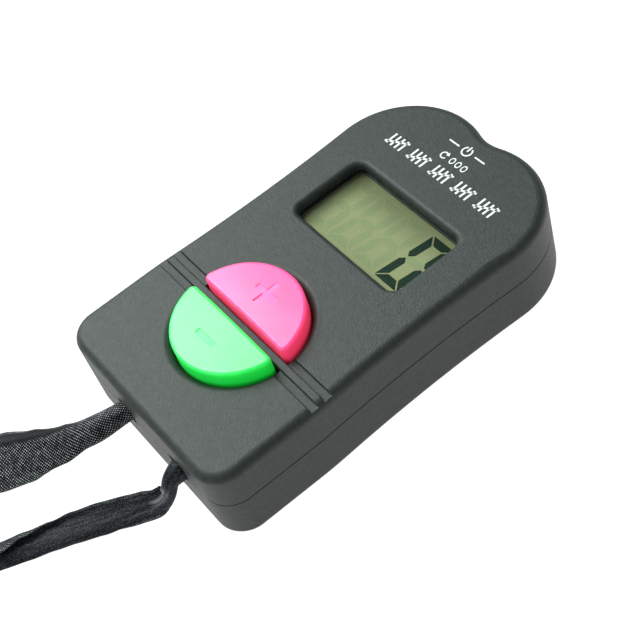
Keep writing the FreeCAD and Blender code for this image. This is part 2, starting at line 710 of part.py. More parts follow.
def door_and_screw():
    middle = "(Dims.door_start + Dims.door_end) / 2"
    length = "Dims.door_end - Dims.door_start"
    plate = block("door_plate", ("0", middle), "0", ("Dims.door_half * 2", length, "Dims.door_thick"))
    rounded = soften("door_rounded", plate, "door_corner", lambda edge: edge.BoundBox.ZLength > 0.5)
    stem = block("door_stem", ("0", "Dims.door_start + 0.3"), "0.5", ("Dims.tab_half * 2", "0.6", "1.9"))
    hook_extent = ("Dims.tab_half * 2", "Dims.tab_reach", "Dims.tab_thick")
    hook = block("door_hook", ("0", "Dims.door_start - 0.6"), "1.7", hook_extent)
    grip_parts = []
    for index in range(GRIP_COUNT):
        centre = ("0", f"Dims.grip_first + {index} * Dims.grip_pitch")
        extent = ("Dims.grip_length", "Dims.grip_width", "Dims.grip_depth + 0.5")
        grip_parts.append(block(f"door_grip{index}", centre, "-0.5", extent))
    grips = fuse("door_grips", grip_parts)
    solid = fuse("door_solid", [rounded, stem, hook])
    hole = post("door_hole", ("0", "Dims.door_screw_y"), "-1", "0.9", "3")
    sink = post("door_sink", ("0", "Dims.door_screw_y"), "-1", "1.6", "1.5")
    keep_node(cut("battery_door", solid, fuse("door_cuts", [grips, hole, sink])))
    head = post("door_head", ("0", "Dims.door_screw_y"), "0.05", "1.45", "0.45")
    slot_a = block("door_cross_a", ("0", "Dims.door_screw_y"), "-0.1", ("1.7", "0.3", "0.4"))
    slot_b = block("door_cross_b", ("0", "Dims.door_screw_y"), "-0.1", ("0.3", "1.7", "0.4"))
    shank = post("door_shank", ("0", "Dims.door_screw_y"), "0.5", "Dims.board_screw_radius", "4.4")
    screw = fuse("door_screw_solid", [head, shank])
    keep_node(cut("battery_door_screw", screw, fuse("door_cross", [slot_a, slot_b])))


# ---------------------------------------------------------------- buttons


def button_profile(body):
    """Half section of the full round button: flange, cap and a crowned top."""
    sketch = new_sketch(body, "section", "0", "XZ_Plane")
    cap = size("button_radius")
    flange = size("flange_radius")
    low = size("flange_low")
    step = size("flange_high")
    top = size("button_top")
    crown = size("button_crown")
    dome = (cap**2 + crown**2) / (2 * crown)
    lean = math.asin(cap / dome)
    corners = [(0, low), (flange, low), (flange, step), (cap, step), (cap, top)]
    for first, second in zip(corners, corners[1:]):
        sketch.addGeometry(Part.LineSegment(Vector(*first, 0), Vector(*second, 0)), False)
    middle = (0.0, top + crown - dome)
    sketch.addGeometry(arc(middle, dome, math.pi / 2 - lean, math.pi / 2), False)
    sketch.addGeometry(Part.LineSegment(Vector(0, top + crown, 0), Vector(0, low, 0)), False)
    link_button_profile(sketch)
    return sketch


def link_button_profile(sketch):
    base, rim, ledge, side, dome, axis = range(6)
    joints = [(base, 2, rim, 1), (rim, 2, ledge, 1), (ledge, 2, side, 1), (side, 2, dome, 1)]
    for joint in joints + [(dome, 2, axis, 1), (axis, 2, base, 1)]:
        sketch.addConstraint(Sketcher.Constraint("Coincident", *joint))
    for item, point in [(base, 1), (axis, 1), (dome, 3)]:
        sketch.addConstraint(Sketcher.Constraint("PointOnObject", item, point, -2))
    for item in (base, ledge):
        sketch.addConstraint(Sketcher.Constraint("Horizontal", item))
    for item in (rim, side):
        sketch.addConstraint(Sketcher.Constraint("Vertical", item))
    bound = [
        ("DistanceX", (base, 1, base, 2), "flange_radius"),
        ("DistanceY", (-1, 1, base, 1), "flange_low"),
        ("DistanceY", (-1, 1, ledge, 1), "flange_high"),
        ("DistanceX", (-1, 1, side, 1), "button_radius"),
        ("DistanceY", (-1, 1, side, 2), "button_top"),
    ]
    for kind, points, alias in bound:
        bind(sketch, Sketcher.Constraint(kind, *points, size(alias)), alias, "Dims." + alias)
    high = size("button_top") + size("button_crown")
    crown = Sketcher.Constraint("DistanceY", -1, 1, dome, 2, high)
    bind(sketch, crown, "crown_top", "Dims.button_top + Dims.button_crown")


def count_button(label, side):
    """Half of the round button: side is 1 for the plus half and -1 for the minus half."""
    body = new_body(label)
    profile = button_profile(body)
    turned = body.newObject("PartDesign::Revolution", label + "_turned")
    turned.Profile = profile
    turned.ReferenceAxis = (profile, ["V_Axis"])
    turned.Angle = 360
    doc.recompute()
    waste = new_sketch(body, "other_half", "Dims.button_top + 1")
    half = "Dims.flange_radius + 1"
    extent = (f"2 * ({half})", f"{half} + Dims.button_gap")
    add_rectangle(waste, "waste", ("0", f"{-side} * (({half}) - Dims.button_gap) / 2"), extent)
    pocket(body, "halved", waste, "Dims.button_top")
    soften_button(body, side)
    cut_sign(body, side)
    body.setExpression("Placement.Base.y", "Dims.well_mid")


def soften_button(body, side):
    """Rounds the two upright tips and then the whole top edge."""
    step = size("flange_high")
    flat_y = side * size("button_gap")
    tips = []
    for index, edge in enumerate(body.Tip.Shape.Edges, start=1):
        box = edge.BoundBox
        upright = box.XLength < 1e-3 and box.YLength < 1e-3 and box.ZMin > step - 0.01
        if upright and box.ZLength > 1 and abs(box.YMin - flat_y) < 1e-3:
            tips.append(f"Edge{index}")
    round_edges(body, "tips", tips, "Dims.button_tip")
    top = []
    for index, edge in enumerate(body.Tip.Shape.Edges, start=1):
        if edge.BoundBox.ZMin > step + 1:
            top.append(f"Edge{index}")
    round_edges(body, "top_edge", top, "Dims.button_edge")


def cut_sign(body, side):
    sketch = new_sketch(body, "sign_plan", "Dims.button_top + 1")
    centre = ("0", f"{side} * Dims.sign_reach")
    depth = "1 - Dims.button_crown + Dims.sign_drop"
    add_rectangle(sketch, "across", centre, ("Dims.sign_size", "Dims.sign_line"))
    pocket(body, "sign", sketch, depth)
    if side > 0:
        upright = new_sketch(body, "upright_plan", "Dims.button_top + 1")
        add_rectangle(upright, "upright", centre, ("Dims.sign_line", "Dims.sign_size"))
        pocket(body, "upright", upright, depth)


def key_dome(name, side):
    """Hollow rubber dome that returns a count button."""
    middle = ("0", f"Dims.well_mid + {side} * Dims.sign_reach")
    board_top = "Dims.board_low + Dims.board_thick"
    cone_low = f"{board_top} + Dims.dome_foot"
    crown_low = f"{cone_low} + Dims.dome_cone"
    foot = post(name + "_foot", middle, board_top, "Dims.dome_foot_radius", "Dims.dome_foot")
    cone_size = {
        "Radius1": "Dims.dome_base_radius",
        "Radius2": "Dims.dome_top_radius",
        "Height": "Dims.dome_cone",
    }
    cone = primitive("Part::Cone", name + "_cone", cone_size, (*middle, cone_low))
    crown_height = f"Dims.flange_low - Dims.dome_play - ({crown_low})"
    crown = post(name + "_crown", middle, crown_low, "Dims.dome_top_radius", crown_height)
    inner_size = {
        "Radius1": "Dims.dome_base_radius - Dims.dome_wall",
        "Radius2": "Dims.dome_top_radius - Dims.dome_wall",
        "Height": "Dims.dome_cone + 0.1",
    }
    inner = primitive("Part::Cone", name + "_inner", inner_size, (*middle, board_top))
    keep_node(cut(name, fuse(name + "_solid", [foot, cone, crown]), inner))


def reset_parts():
    face_length = "Dims.reset_face - Dims.reset_flange_end"
    cap_y = "(Dims.reset_face + Dims.reset_flange_end) / 2"
    low = "Dims.parting - Dims.reset_half_height"
    cap_extent = ("Dims.reset_half * 2", face_length, "Dims.reset_half_height * 2")
    cap = block("reset_cap", ("0", cap_y), low, cap_extent)

    def outer(edge):
        along_y = edge.BoundBox.YLength > 1
        return along_y or edge.BoundBox.YMin > size("reset_face") - 0.01

    rounded = soften("reset_cap_round", cap, "reset_round", outer)
    flange_y = "(Dims.reset_flange_end + Dims.reset_flange_start) / 2"
    flange_extent = (
        "Dims.reset_flange_half * 2",
        "Dims.reset_flange_end - Dims.reset_flange_start",
        "Dims.reset_flange_height * 2",
    )
    flange = block("reset_flange", ("0", flange_y), "Dims.parting - Dims.reset_flange_height", flange_extent)
    keep_node(fuse("reset_button", [rounded, flange]))
    body_height = "Dims.board_low - Dims.switch_low"
    middle = "(Dims.switch_start + Dims.switch_end) / 2"
    switch_extent = ("6", "Dims.switch_end - Dims.switch_start", body_height)
    shell = block("switch_shell", ("0", middle), "Dims.switch_low", switch_extent)
    bore_start = ("0", "Dims.plunger_start - 0.8", "Dims.plunger_height")
    bore = rod_along_y("switch_bore", bore_start, "Dims.plunger_radius + 0.05", "3")
    keep_node(cut("reset_switch", shell, bore))
    plunger_start = ("0", "Dims.plunger_start", "Dims.plunger_height")
    plunger_length = "Dims.reset_flange_start - Dims.plunger_start"
    keep_node(rod_along_y("reset_plunger", plunger_start, "Dims.plunger_radius", plunger_length))


# ---------------------------------------------------------------- display and electronics


def display_parts():
    plate_x = "Dims.window_x - 2 * Dims.lens_gap"
    plate_y = "Dims.window_y - 2 * Dims.lens_gap"
    under_face = "Dims.case_depth - Dims.roof"
    middle = ("0", "Dims.window_mid")
    plate_height = f"Dims.case_depth - Dims.lens_drop - ({under_face})"
    plate = block("lens_plate", middle, under_face, (plate_x, plate_y, plate_height))
    rounded = soften("lens_round", plate, "window_corner", lambda edge: edge.BoundBox.ZLength > 0.5)
    flange_extent = (
        "Dims.window_x + 2 * Dims.lens_flange",
        "Dims.window_y + 2 * Dims.lens_flange",
        f"{under_face} - Dims.lens_flange_low",
    )
    flange = block("lens_flange_plate", middle, "Dims.lens_flange_low", flange_extent)
    keep_node(fuse("display_lens", [rounded, flange]))
    front_low = "Dims.glass_top - Dims.glass_thick"
    front = ("Dims.glass_x", "Dims.glass_y", "Dims.glass_thick")
    keep_node(block("lcd_front_glass", middle, front_low, front))
    back_y = "Dims.window_mid + (Dims.glass_y - Dims.glass_back_y) / 2"
    back = ("Dims.glass_x", "Dims.glass_back_y", "Dims.glass_thick")
    keep_node(block("lcd_back_glass", ("0", back_y), f"{front_low} - Dims.glass_thick", back))
    frame_height = "Dims.frame_high - Dims.frame_low"
    outer = block("frame_outer", middle, "Dims.frame_low", ("Dims.frame_x", "Dims.frame_y", frame_height))
    pit = (
        "Dims.glass_x + 2 * Dims.fit_gap",
        "Dims.glass_y + 2 * Dims.fit_gap",
        f"{frame_height} - Dims.frame_lip",
    )
    inner = block("frame_inner", middle, "Dims.frame_low", pit)
    opening_extent = ("Dims.frame_open_x", "Dims.frame_open_y", "6")
    opening = block("frame_opening", middle, "Dims.frame_low", opening_extent)
    keep_node(cut("lcd_frame", outer, fuse("frame_cuts", [inner, opening])))
    zebra_low = "Dims.board_low + Dims.board_thick"
    zebra_y = "Dims.window_mid - Dims.glass_y / 2 + 1.3"
    zebra = ("Dims.zebra_x", "Dims.zebra_y", f"{front_low} - ({zebra_low})")
    keep_node(block("zebra_strip", ("0", zebra_y), zebra_low, zebra))


def circuit_board():
    main_y = "(Dims.board_start + Dims.board_step) / 2"
    main_extent = ("Dims.board_half * 2", "Dims.board_step - Dims.board_start", "Dims.board_thick")
    main = block("board_main", ("0", main_y), "Dims.board_low", main_extent)
    head_y = "(Dims.board_step + Dims.board_end) / 2"
    head_extent = ("Dims.board_head_half * 2", "Dims.board_end - Dims.board_step", "Dims.board_thick")
    head = block("board_head", ("0", head_y), "Dims.board_low", head_extent)
    holes = []
    for index, (x, y) in enumerate(BOARD_BOSSES):
        holes.append(post(f"board_hole{index}", (f"{x}", f"{y}"), "Dims.board_low - 1", "0.85", "4"))
    keep_node(cut("circuit_board", fuse("board_solid", [main, head]), fuse("board_holes", holes)))


def board_parts():
    blob_size = {
        "Radius1": "Dims.blob_height",
        "Radius2": "Dims.blob_x",
        "Radius3": "Dims.blob_y",
        "Angle2": "0",
    }
    keep_node(primitive("Part::Ellipsoid", "chip_cap", blob_size, ("0", "12", "Dims.board_low")))
    can_start = ("9", "6", "Dims.board_low - 1.1")
    can = rod_along_y("crystal_can", can_start, "Dims.crystal_radius", "Dims.crystal_length")
    pins = []
    for index, x in enumerate(("8.65", "9.35")):
        pins.append(rod_along_y(f"crystal_pin{index}", (x, "3.5", "Dims.board_low - 1.1"), "0.15", "2.7"))
    keep_node(fuse("crystal", [can] + pins))
    chips = []
    for index, (x, y) in enumerate(RESISTORS):
        extent = ("Dims.resistor_x", "Dims.resistor_y", "Dims.resistor_z")
        chips.append(block(f"chip{index}", (f"{x}", f"{y}"), "Dims.board_low - Dims.resistor_z", extent))
    keep_node(group("board_resistors", chips))
    can_low = "Dims.board_low - Dims.capacitor_height"
    can_sizes = ("Dims.capacitor_radius", "Dims.capacitor_height")
    keep_node(post("board_capacitor", ("-11", "-18"), can_low, *can_sizes))


def battery_parts():
    middle = ("0", "Dims.cell_mid")
    can = post("cell_can", middle, "Dims.cell_low", "Dims.cell_radius", "Dims.cell_height - 0.3")
    cap_low = "Dims.cell_low + Dims.cell_height - 0.3"
    cap = post("cell_cap", middle, cap_low, "Dims.cell_radius - 0.9", "0.3")
    keep_node(fuse("battery_cell", [can, cap]))
    top = "Dims.cell_low + Dims.cell_height"
    foot = block("contact_foot", ("0", "Dims.cell_mid + 4"), "Dims.board_low - 0.25", ("4", "4", "0.25"))
    riser_extent = ("4", "0.25", f"Dims.board_low - ({top})")
    riser = block("contact_riser", ("0", "Dims.cell_mid + 2.1"), top, riser_extent)
    leaf = block("contact_leaf", ("0", "Dims.cell_mid"), top, ("4", "4.4", "0.25"))
    keep_node(fuse("battery_contact_top", [foot, riser, leaf]))
    side_foot = block("side_foot", ("7.8", "Dims.cell_mid"), "Dims.board_low - 0.25", ("4", "4", "0.25"))
    side_riser = block("side_riser", ("5.95", "Dims.cell_mid"), "3", ("0.2", "2.4", "Dims.board_low - 3"))
    keep_node(fuse("battery_contact_side", [side_foot, side_riser]))


def screw(name, place, low, head_radius, head_height, radius, length):
    head = post(name + "_head", place, low, head_radius, head_height)
    shank = post(name + "_shank", place, f"{low} + {head_height}", radius, length)
    across = block(name + "_across", place, f"{low} - 0.1", (f"{head_radius} * 1.1", "0.35", "0.6"))
    along = block(name + "_along", place, f"{low} - 0.1", ("0.35", f"{head_radius} * 1.1", "0.6"))
    return cut(name, fuse(name + "_solid", [head, shank]), fuse(name + "_cross", [across, along]))


def screws():
    parts = ("head_radius", "head_height", "screw_radius", "screw_length")
    case_sizes = [f"Dims.case_{part}" for part in parts]
    board_sizes = [f"Dims.board_{part}" for part in parts]
    case_low = "Dims.case_sink_depth - Dims.case_head_height"
    case = []
    for index, (x, y) in enumerate(CASE_BOSSES):
        case.append(screw(f"case_screw{index}", (f"{x}", f"{y}"), case_low, *case_sizes))
    keep_node(group("case_screws", case))
    board_low = "Dims.board_low - Dims.board_head_height"
    board = []
    for index, (x, y) in enumerate(BOARD_BOSSES):
        board.append(screw(f"board_screw{index}", (f"{x}", f"{y}"), board_low, *board_sizes))
    keep_node(group("board_screws", board))


# ---------------------------------------------------------------- lanyard


def cord_wire(points):
    """Straight runs joined by tangent arcs, each as large as its two runs allow."""
    vectors = [Vector(*point) for point in points]
    edges = []
    radii = []
    here = vectors[0]
    for before, corner, after in zip(vectors, vectors[1:], vectors[2:]):
        come = (corner - before).normalize()
        leave = (after - corner).normalize()
        half_turn = come.getAngle(leave) / 2
        shorter = min((corner - before).Length, (after - corner).Length)
        setback = ARC_SHARE * shorter
        radius = setback / math.tan(half_turn)
        entry = corner - come * setback
        way_out = corner + leave * setback
        inward = (leave - come).normalize()
        centre = corner + inward * (radius / math.cos(half_turn))
        middle = centre - inward * radius
        edges.append(Part.makeLine(here, entry))
        edges.append(Part.Arc(entry, middle, way_out).toShape())
        radii.append(round(radius, 1))
        here = way_out
    edges.append(Part.makeLine(here, vectors[-1]))
    return Part.Wire(edges), radii


def strand(name, points):
    wire, radii = cord_wire(points)
    radius = size("cord_radius")
    start = Vector(*points[0])
    direction = (Vector(*points[1]) - start).normalize()
    ring = Part.Wire([Part.makeCircle(radius, start, direction)])
    tube = wire.makePipeShell([ring], True, False, 2)
    expected = math.pi * radius**2 * wire.Length
    ratio = round(tube.Volume / expected, 3)
    print(name, "length", round(wire.Length, 1), "radii", radii, "volume ratio", ratio)
    node = doc.addObject("Part::Feature", name)
    node.Shape = tube
    node.Placement = Placement()
    nodes.append(node)


def lanyard_parts():
    strand("lanyard_strand_a", STRAND_A)
    strand("lanyard_strand_b", STRAND_B)
    knots = []
    knot_size = {"Radius1": "Dims.knot_height", "Radius2": "Dims.knot_half", "Radius3": "Dims.knot_depth"}
    for index, x in enumerate(SLOT_PLACES):
        place = (f"{x}", "Dims.knot_mid", "Dims.slot_mid + 0.1")
        knots.append(primitive("Part::Ellipsoid", f"knot{index}", knot_size, place))
    keep_node(group("lanyard_knots", knots))
    middle = (f"{COIL_MIDDLE[0]}", f"{COIL_MIDDLE[1]}")
    disc = post("coil_disc", middle, "0", "Dims.coil_radius + Dims.coil_half", "Dims.coil_height")
    hole = post("coil_hole", middle, "-1", "Dims.coil_radius - Dims.coil_half", "Dims.coil_height + 2")
    keep_node(cut("lanyard_coil", disc, hole))
    tie_middle = (middle[0], f"{middle[1]} - Dims.coil_radius")
    band = "2 * Dims.coil_half + 2 * Dims.tie_thick"
    outer = block("tie_outer", tie_middle, "0", ("Dims.tie_width", band, "Dims.coil_height + Dims.tie_thick"))
    inner_size = ("Dims.tie_width + 2", "2 * Dims.coil_half", "Dims.coil_height - Dims.tie_thick")
    inner = block("tie_inner", tie_middle, "Dims.tie_thick", inner_size)
    keep_node(cut("lanyard_tie", outer, inner))


# ---------------------------------------------------------------- build


def check_document():
    for item in doc.Objects:
        if "Invalid" in item.State or "Error" in item.State:
            raise RuntimeError(item.Label + " failed: " + str(item.State))
    for node in nodes:
        if node.Shape.isNull() or not node.Shape.isValid():
            raise RuntimeError(node.Label + " has no valid shape")


def export_nodes():
    os.makedirs("parts", exist_ok=True)
    for node in nodes:
        node.Shape.exportStep("parts/" + node.Label + ".step")
        print(node.Label, round(node.Shape.Volume, 1), "mm3,", len(node.Shape.Solids), "solid")


fill_sheet()
front_case()
back_case()
door_and_screw()
count_button("plus_button", 1)
count_button("minus_button", -1)
key_dome("plus_key_dome", 1)
key_dome("minus_key_dome", -1)
reset_parts()
display_parts()
circuit_board()
board_parts()
battery_parts()
screws()
lanyard_parts()
doc.recompute()
check_document()
export_nodes()
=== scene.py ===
import math

import bmesh
import bpy
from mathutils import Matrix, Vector


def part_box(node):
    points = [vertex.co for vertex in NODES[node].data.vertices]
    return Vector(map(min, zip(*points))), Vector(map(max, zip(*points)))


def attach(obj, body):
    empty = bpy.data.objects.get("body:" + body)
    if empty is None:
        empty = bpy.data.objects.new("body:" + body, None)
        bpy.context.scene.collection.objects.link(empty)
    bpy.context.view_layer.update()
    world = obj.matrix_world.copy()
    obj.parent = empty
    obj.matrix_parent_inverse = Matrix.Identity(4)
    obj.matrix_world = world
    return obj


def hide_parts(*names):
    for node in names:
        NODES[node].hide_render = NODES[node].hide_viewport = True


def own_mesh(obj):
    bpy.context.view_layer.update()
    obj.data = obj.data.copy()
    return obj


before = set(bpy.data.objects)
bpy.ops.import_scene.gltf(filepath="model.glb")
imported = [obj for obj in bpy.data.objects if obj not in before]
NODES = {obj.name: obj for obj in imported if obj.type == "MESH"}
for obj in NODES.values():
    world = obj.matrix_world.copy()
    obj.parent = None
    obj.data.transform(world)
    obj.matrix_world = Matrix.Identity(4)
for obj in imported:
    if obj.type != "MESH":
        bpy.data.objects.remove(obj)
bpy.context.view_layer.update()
MM = 0.001
UP = Vector((0, 0, 1))


def link(obj):
    bpy.context.scene.collection.objects.link(obj)
    return obj


def build(name, bm):
    """An object in the scene from a finished shape."""
    mesh = bpy.data.meshes.new(name)
    bm.to_mesh(mesh)
    bm.free()
    return link(bpy.data.objects.new(name, mesh))


def join_rings(bm, a, b):
    """Smooth faces between two rings with the same number of vertices."""
    for k in range(len(a)):
        after = (k + 1) % len(a)
        bm.faces.new((a[k], a[after], b[after], b[k])).smooth = True


# ---------------------------------------------------------------- camera

# The photograph's viewing angle: millimetres, metres and degrees.
CAMERA_LENS = 83.712
CAMERA_PLACE = (0.133815, -0.055888, 0.175094)
CAMERA_TURN = (38.3785, 13.0718, 52.5261)


def make_camera():
    data = bpy.data.cameras.new("camera")
    data.sensor_width = 36.0
    data.lens = CAMERA_LENS
    data.clip_start = 0.01
    camera = link(bpy.data.objects.new("camera", data))
    camera.location = CAMERA_PLACE
    camera.rotation_euler = [math.radians(a) for a in CAMERA_TURN]
    bpy.context.scene.camera = camera


# ---------------------------------------------------------------- lanyard route, millimetres

STRAND_A = [
    (-5.6, -31.5, 7.9),
    (-6.4, -37.0, 7.4),
    (-9.5, -42.0, 5.5),
    (-14.2, -48.4, 2.9),
    (-21.0, -57.5, 1.5),
    (-29.5, -68.3, 2.8),
    (-36.5, -77.0, 4.0),
]
STRAND_B = [
    (8.4, -31.5, 7.9),
    (8.5, -35.6, 7.7),
    (8.6, -37.0, 5.2),
    (8.3, -38.2, 2.4),
    (6.8, -41.0, 1.4),
    (3.0, -47.0, 1.4),
    (-0.4, -53.2, 1.5),
    (-3.2, -58.8, 1.5),
    (-6.4, -66.6, 2.2),
    (-14.0, -74.6, 4.0),
]
COIL_MIDDLE = Vector((-6.4, -117.4))
COIL_HEIGHT = 5.4
RADIUS_A = 49.0
RADIUS_B = 45.0
# Both strands run round the coil to this angle, joining it where they arrive; then they turn
# inwards and end in one open loop. Angles in degrees from +X.
COIL_END = 420.0
JOIN_A = 140.0
JOIN_B = 104.0
COIL_STEP = 22.5
TURN_RADIUS = 24.0
TURN_SWEEP = 125.0
TURN_STEPS = 4
# Half of the end loop: how far ahead of the turn, and how far to the side.
LOOP = [(6.0, 2.0), (15.5, 6.6), (23.0, 16.8), (36.0, 21.6), (48.5, 17.6), (56.6, 6.8)]
# How far behind the slot's mouth the ribbon's end is.
SLOT_DEPTH = 2.55
RIBBON_WIDTH = 10.0
RIBBON_THICK = 0.24
LANYARD_LENGTH = 0.85  # metres


def at_angle(middle, radius, a):
    """The place on a circle at the coil's height, by an angle in radians."""
    return Vector((middle.x + radius * math.cos(a), middle.y + radius * math.sin(a), COIL_HEIGHT))


def round_points(middle, radius, first, last, steps):
    """Points of an arc, at the middle of each of its steps."""
    shares = [(i + 0.5) / steps for i in range(steps)]
    return [at_angle(middle, radius, math.radians(first + (last - first) * t)) for t in shares]


def ring_points(radius, join):
    steps = round((COIL_END - join) / COIL_STEP)
    return round_points(COIL_MIDDLE, radius, join, COIL_END, steps)


def turn_middle():
    a = math.radians(COIL_END)
    out = (RADIUS_A + RADIUS_B) / 2 - TURN_RADIUS
    return COIL_MIDDLE + out * Vector((math.cos(a), math.sin(a)))


def turn_points(radius):
    return round_points(turn_middle(), radius, COIL_END, COIL_END + TURN_SWEEP, TURN_STEPS)


def loop_points():
    """The open loop at the end of both strands, there and back."""
    a = math.radians(COIL_END + TURN_SWEEP)
    start = at_angle(turn_middle(), TURN_RADIUS, a)
    ahead = Vector((-math.sin(a), math.cos(a), 0))
    aside = Vector((ahead.y, -ahead.x, 0))
    out = [start + ahead * u + aside * w for u, w in LOOP]
    back = [start + ahead * u - aside * w for u, w in reversed(LOOP)]
    return out + back


def route_points():
    half_gap = (RADIUS_A - RADIUS_B) / 2
    there = STRAND_A + ring_points(RADIUS_A, JOIN_A) + turn_points(TURN_RADIUS + half_gap)
    back = STRAND_B + ring_points(RADIUS_B, JOIN_B) + turn_points(TURN_RADIUS - half_gap)
    return there + loop_points() + back[::-1]


def follow_route():
    """Places along a smooth curve through the route, from slot A to slot B."""
    data = bpy.data.curves.new("lanyard_route", "CURVE")
    data.dimensions = "3D"
    data.resolution_u = 16
    spline = data.splines.new("NURBS")
    route = route_points()
    spline.points.add(len(route) - 1)
    for point, place in zip(spline.points, route):
        point.co = (place[0] * MM, place[1] * MM, place[2] * MM, 1)
    spline.order_u = 3
    spline.use_endpoint_u = True
    holder = link(bpy.data.objects.new("lanyard_route", data))
    bpy.context.view_layer.update()
    smooth = holder.evaluated_get(bpy.context.evaluated_depsgraph_get())
    line = bpy.data.meshes.new_from_object(smooth)
    places = [v.co.copy() for v in line.vertices]
    bpy.data.objects.remove(holder)
    return places


# ---------------------------------------------------------------- ribbon sections, millimetres

# Each section is nine points across the ribbon, from its far edge to its near edge as the camera
# sees it: (towards the camera, up) from the route.
GATHERED = [
    (-1.2, -0.9), (-1.3, 0.7), (-0.9, 1.2), (-0.5, -0.5), (0.0, -0.9),
    (0.4, 0.8), (0.9, 1.2), (1.3, 0.5), (1.2, -0.9),
]
ARCH = [
    (-0.6, -0.9), (-1.4, -0.8), (-1.6, 0.3), (-0.9, 1.15), (0.0, 1.4),
    (0.9, 1.1), (1.5, 0.2), (1.4, -0.9), (0.5, -1.1),
]
HOOD = [
    (-0.9, -0.9), (-1.9, -0.6), (-2.0, 0.4), (-1.2, 1.15), (-0.1, 1.25),
    (1.0, 0.85), (1.8, 0.0), (2.1, -1.0), (1.2, -1.4),
]
OPENING = [
    (-2.0, -0.3), (-2.5, 0.5), (-1.8, 1.1), (-0.8, 1.2), (0.2, 0.7),
    (1.2, 0.0), (2.2, -0.7), (3.0, -1.3), (2.2, -1.6),
]
CREASED = [
    (-3.8, 0.35), (-3.1, 1.05), (-2.1, 1.25), (-1.1, 0.95), (0.0, 0.45),
    (1.1, 0.0), (2.3, -0.5), (3.4, -1.0), (4.3, -1.3),
]
RIDGED = [
    (-4.6, 0.25), (-3.7, 0.85), (-2.6, 1.05), (-1.4, 0.75), (-0.2, 0.4),
    (1.1, 0.0), (2.4, -0.45), (3.6, -0.9), (4.8, -1.2),
]
FLAT = [(RIBBON_WIDTH * (i / 8 - 0.5), 0.0) for i in range(9)]
NECK = [
    (-0.3, -0.8), (-0.9, -0.6), (-1.1, 0.1), (-0.7, 0.8), (0.0, 1.0),
    (0.6, 0.7), (0.95, 0.0), (0.9, -0.7), (0.2, -0.9),
]
FLARED = [
    (-1.2, 1.9), (-1.3, 1.7), (-1.1, 1.5), (-0.9, 1.2), (-0.4, 1.1),
    (0.2, 0.8), (0.8, 0.1), (0.8, -0.6), (0.4, -0.9),
]
PLEATED = [
    (-1.4, 2.8), (-1.5, 2.2), (-1.0, 1.9), (-1.0, 1.3), (-0.4, 1.1),
    (-0.2, 0.5), (0.4, 0.3), (0.5, -0.3), (0.9, -0.8),
]
CORNER = [
    (-2.3, 2.4), (-2.1, 1.8), (-1.6, 1.6), (-1.3, 1.1), (-0.8, 0.9),
    (-0.4, 0.5), (0.2, 0.3), (0.5, -0.2), (0.9, -0.7),
]
FANNED = [
    (-2.7, 1.9), (-2.3, 1.4), (-1.8, 1.1), (-1.2, 0.8), (-0.6, 0.6),
    (-0.0, 0.3), (0.5, 0.1), (0.9, -0.3), (0.9, -0.8),
]
SPREAD = [
    (-2.7, 1.6), (-2.3, 1.2), (-1.7, 0.9), (-1.0, 0.6), (-0.2, 0.4),
    (0.5, 0.2), (1.1, -0.2), (1.4, -0.7), (0.9, -0.9),
]
LIFTED = [
    (-2.2, 1.5), (-2.1, 1.1), (-1.6, 0.7), (-0.8, 0.5), (0.0, 0.3),
    (0.8, 0.1), (1.5, -0.3), (1.6, -0.8), (1.0, -0.9),
]
TURNED = [
    (-1.5, 1.3), (-1.8, 1.0), (-1.7, 0.5), (-1.1, 0.3), (-0.3, 0.2),
    (0.7, 0.0), (1.6, -0.4), (1.8, -0.9), (1.1, -1.0),
]
LAPEL = [
    (-0.4, 1.2), (-1.0, 1.2), (-1.4, 0.8), (-1.2, 0.3), (-0.3, 0.1),
    (0.8, 0.0), (1.9, -0.5), (2.2, -0.9), (1.3, -1.0),
]
FOLDED = [
    (1.0, 1.0), (0.1, 1.1), (-0.8, 0.9), (-1.0, 0.4), (0.0, 0.2),
    (1.1, 0.0), (2.1, -0.5), (2.4, -0.9), (1.5, -1.0),
]

# (distance from the slot, section, far edge raised by this many degrees)
STATIONS_A = [
    (-3.0, GATHERED, 0),
    (0.0, ARCH, 0),
    (7.0, HOOD, 0),
    (11.5, OPENING, 0),
    (17.5, CREASED, 2),
    (22.5, RIDGED, 4),
    (26.0, RIDGED, 6),
    (33.0, FLAT, 14),
    (44.0, FLAT, 30),
    (55.0, FLAT, 50),
    (65.0, FLAT, 74),
    (74.0, FLAT, 90),
]
STATIONS_B = [
    (-3.0, GATHERED, 0),
    (0.0, ARCH, 0),
    (3.0, NECK, 0),
    (4.0, NECK, 0),
    (5.6, FLARED, 0),
    (7.8, PLEATED, 0),
    (10.5, CORNER, 0),
    (13.0, FANNED, 0),
    (17.0, SPREAD, 0),
    (21.0, LIFTED, 0),
    (24.5, TURNED, 0),
    (28.5, LAPEL, 0),
    (32.5, FOLDED, 0),
    (38.0, FLAT, 22),
    (46.0, FLAT, 45),
    (54.0, FLAT, 68),
    (64.0, FLAT, 90),
]
# Between these distances a section stops leaning with the falling ribbon and stands upright.
LEANS_UNTIL = 3.2
UPRIGHT_FROM = 6.2
FLOOR_GAP = 0.25
# The ribbon is modelled in fine steps this near to a slot, and in coarse ones beyond.
FINE_REACH = 45.0
FINE_STEP = 0.35
COARSE_STEP = 1.6
ACROSS = 40


def curve_through(before, start, end, after, t):
    """A smooth step from start to end that keeps the slopes of its neighbours."""
    t2, t3 = t * t, t * t * t
    return (
        start * (2 * t3 - 3 * t2 + 1)
        + (end - before) * 0.5 * (t3 - 2 * t2 + t)
        + end * (3 * t2 - 2 * t3)
        + (after - start) * 0.5 * (t3 - t2)
    )


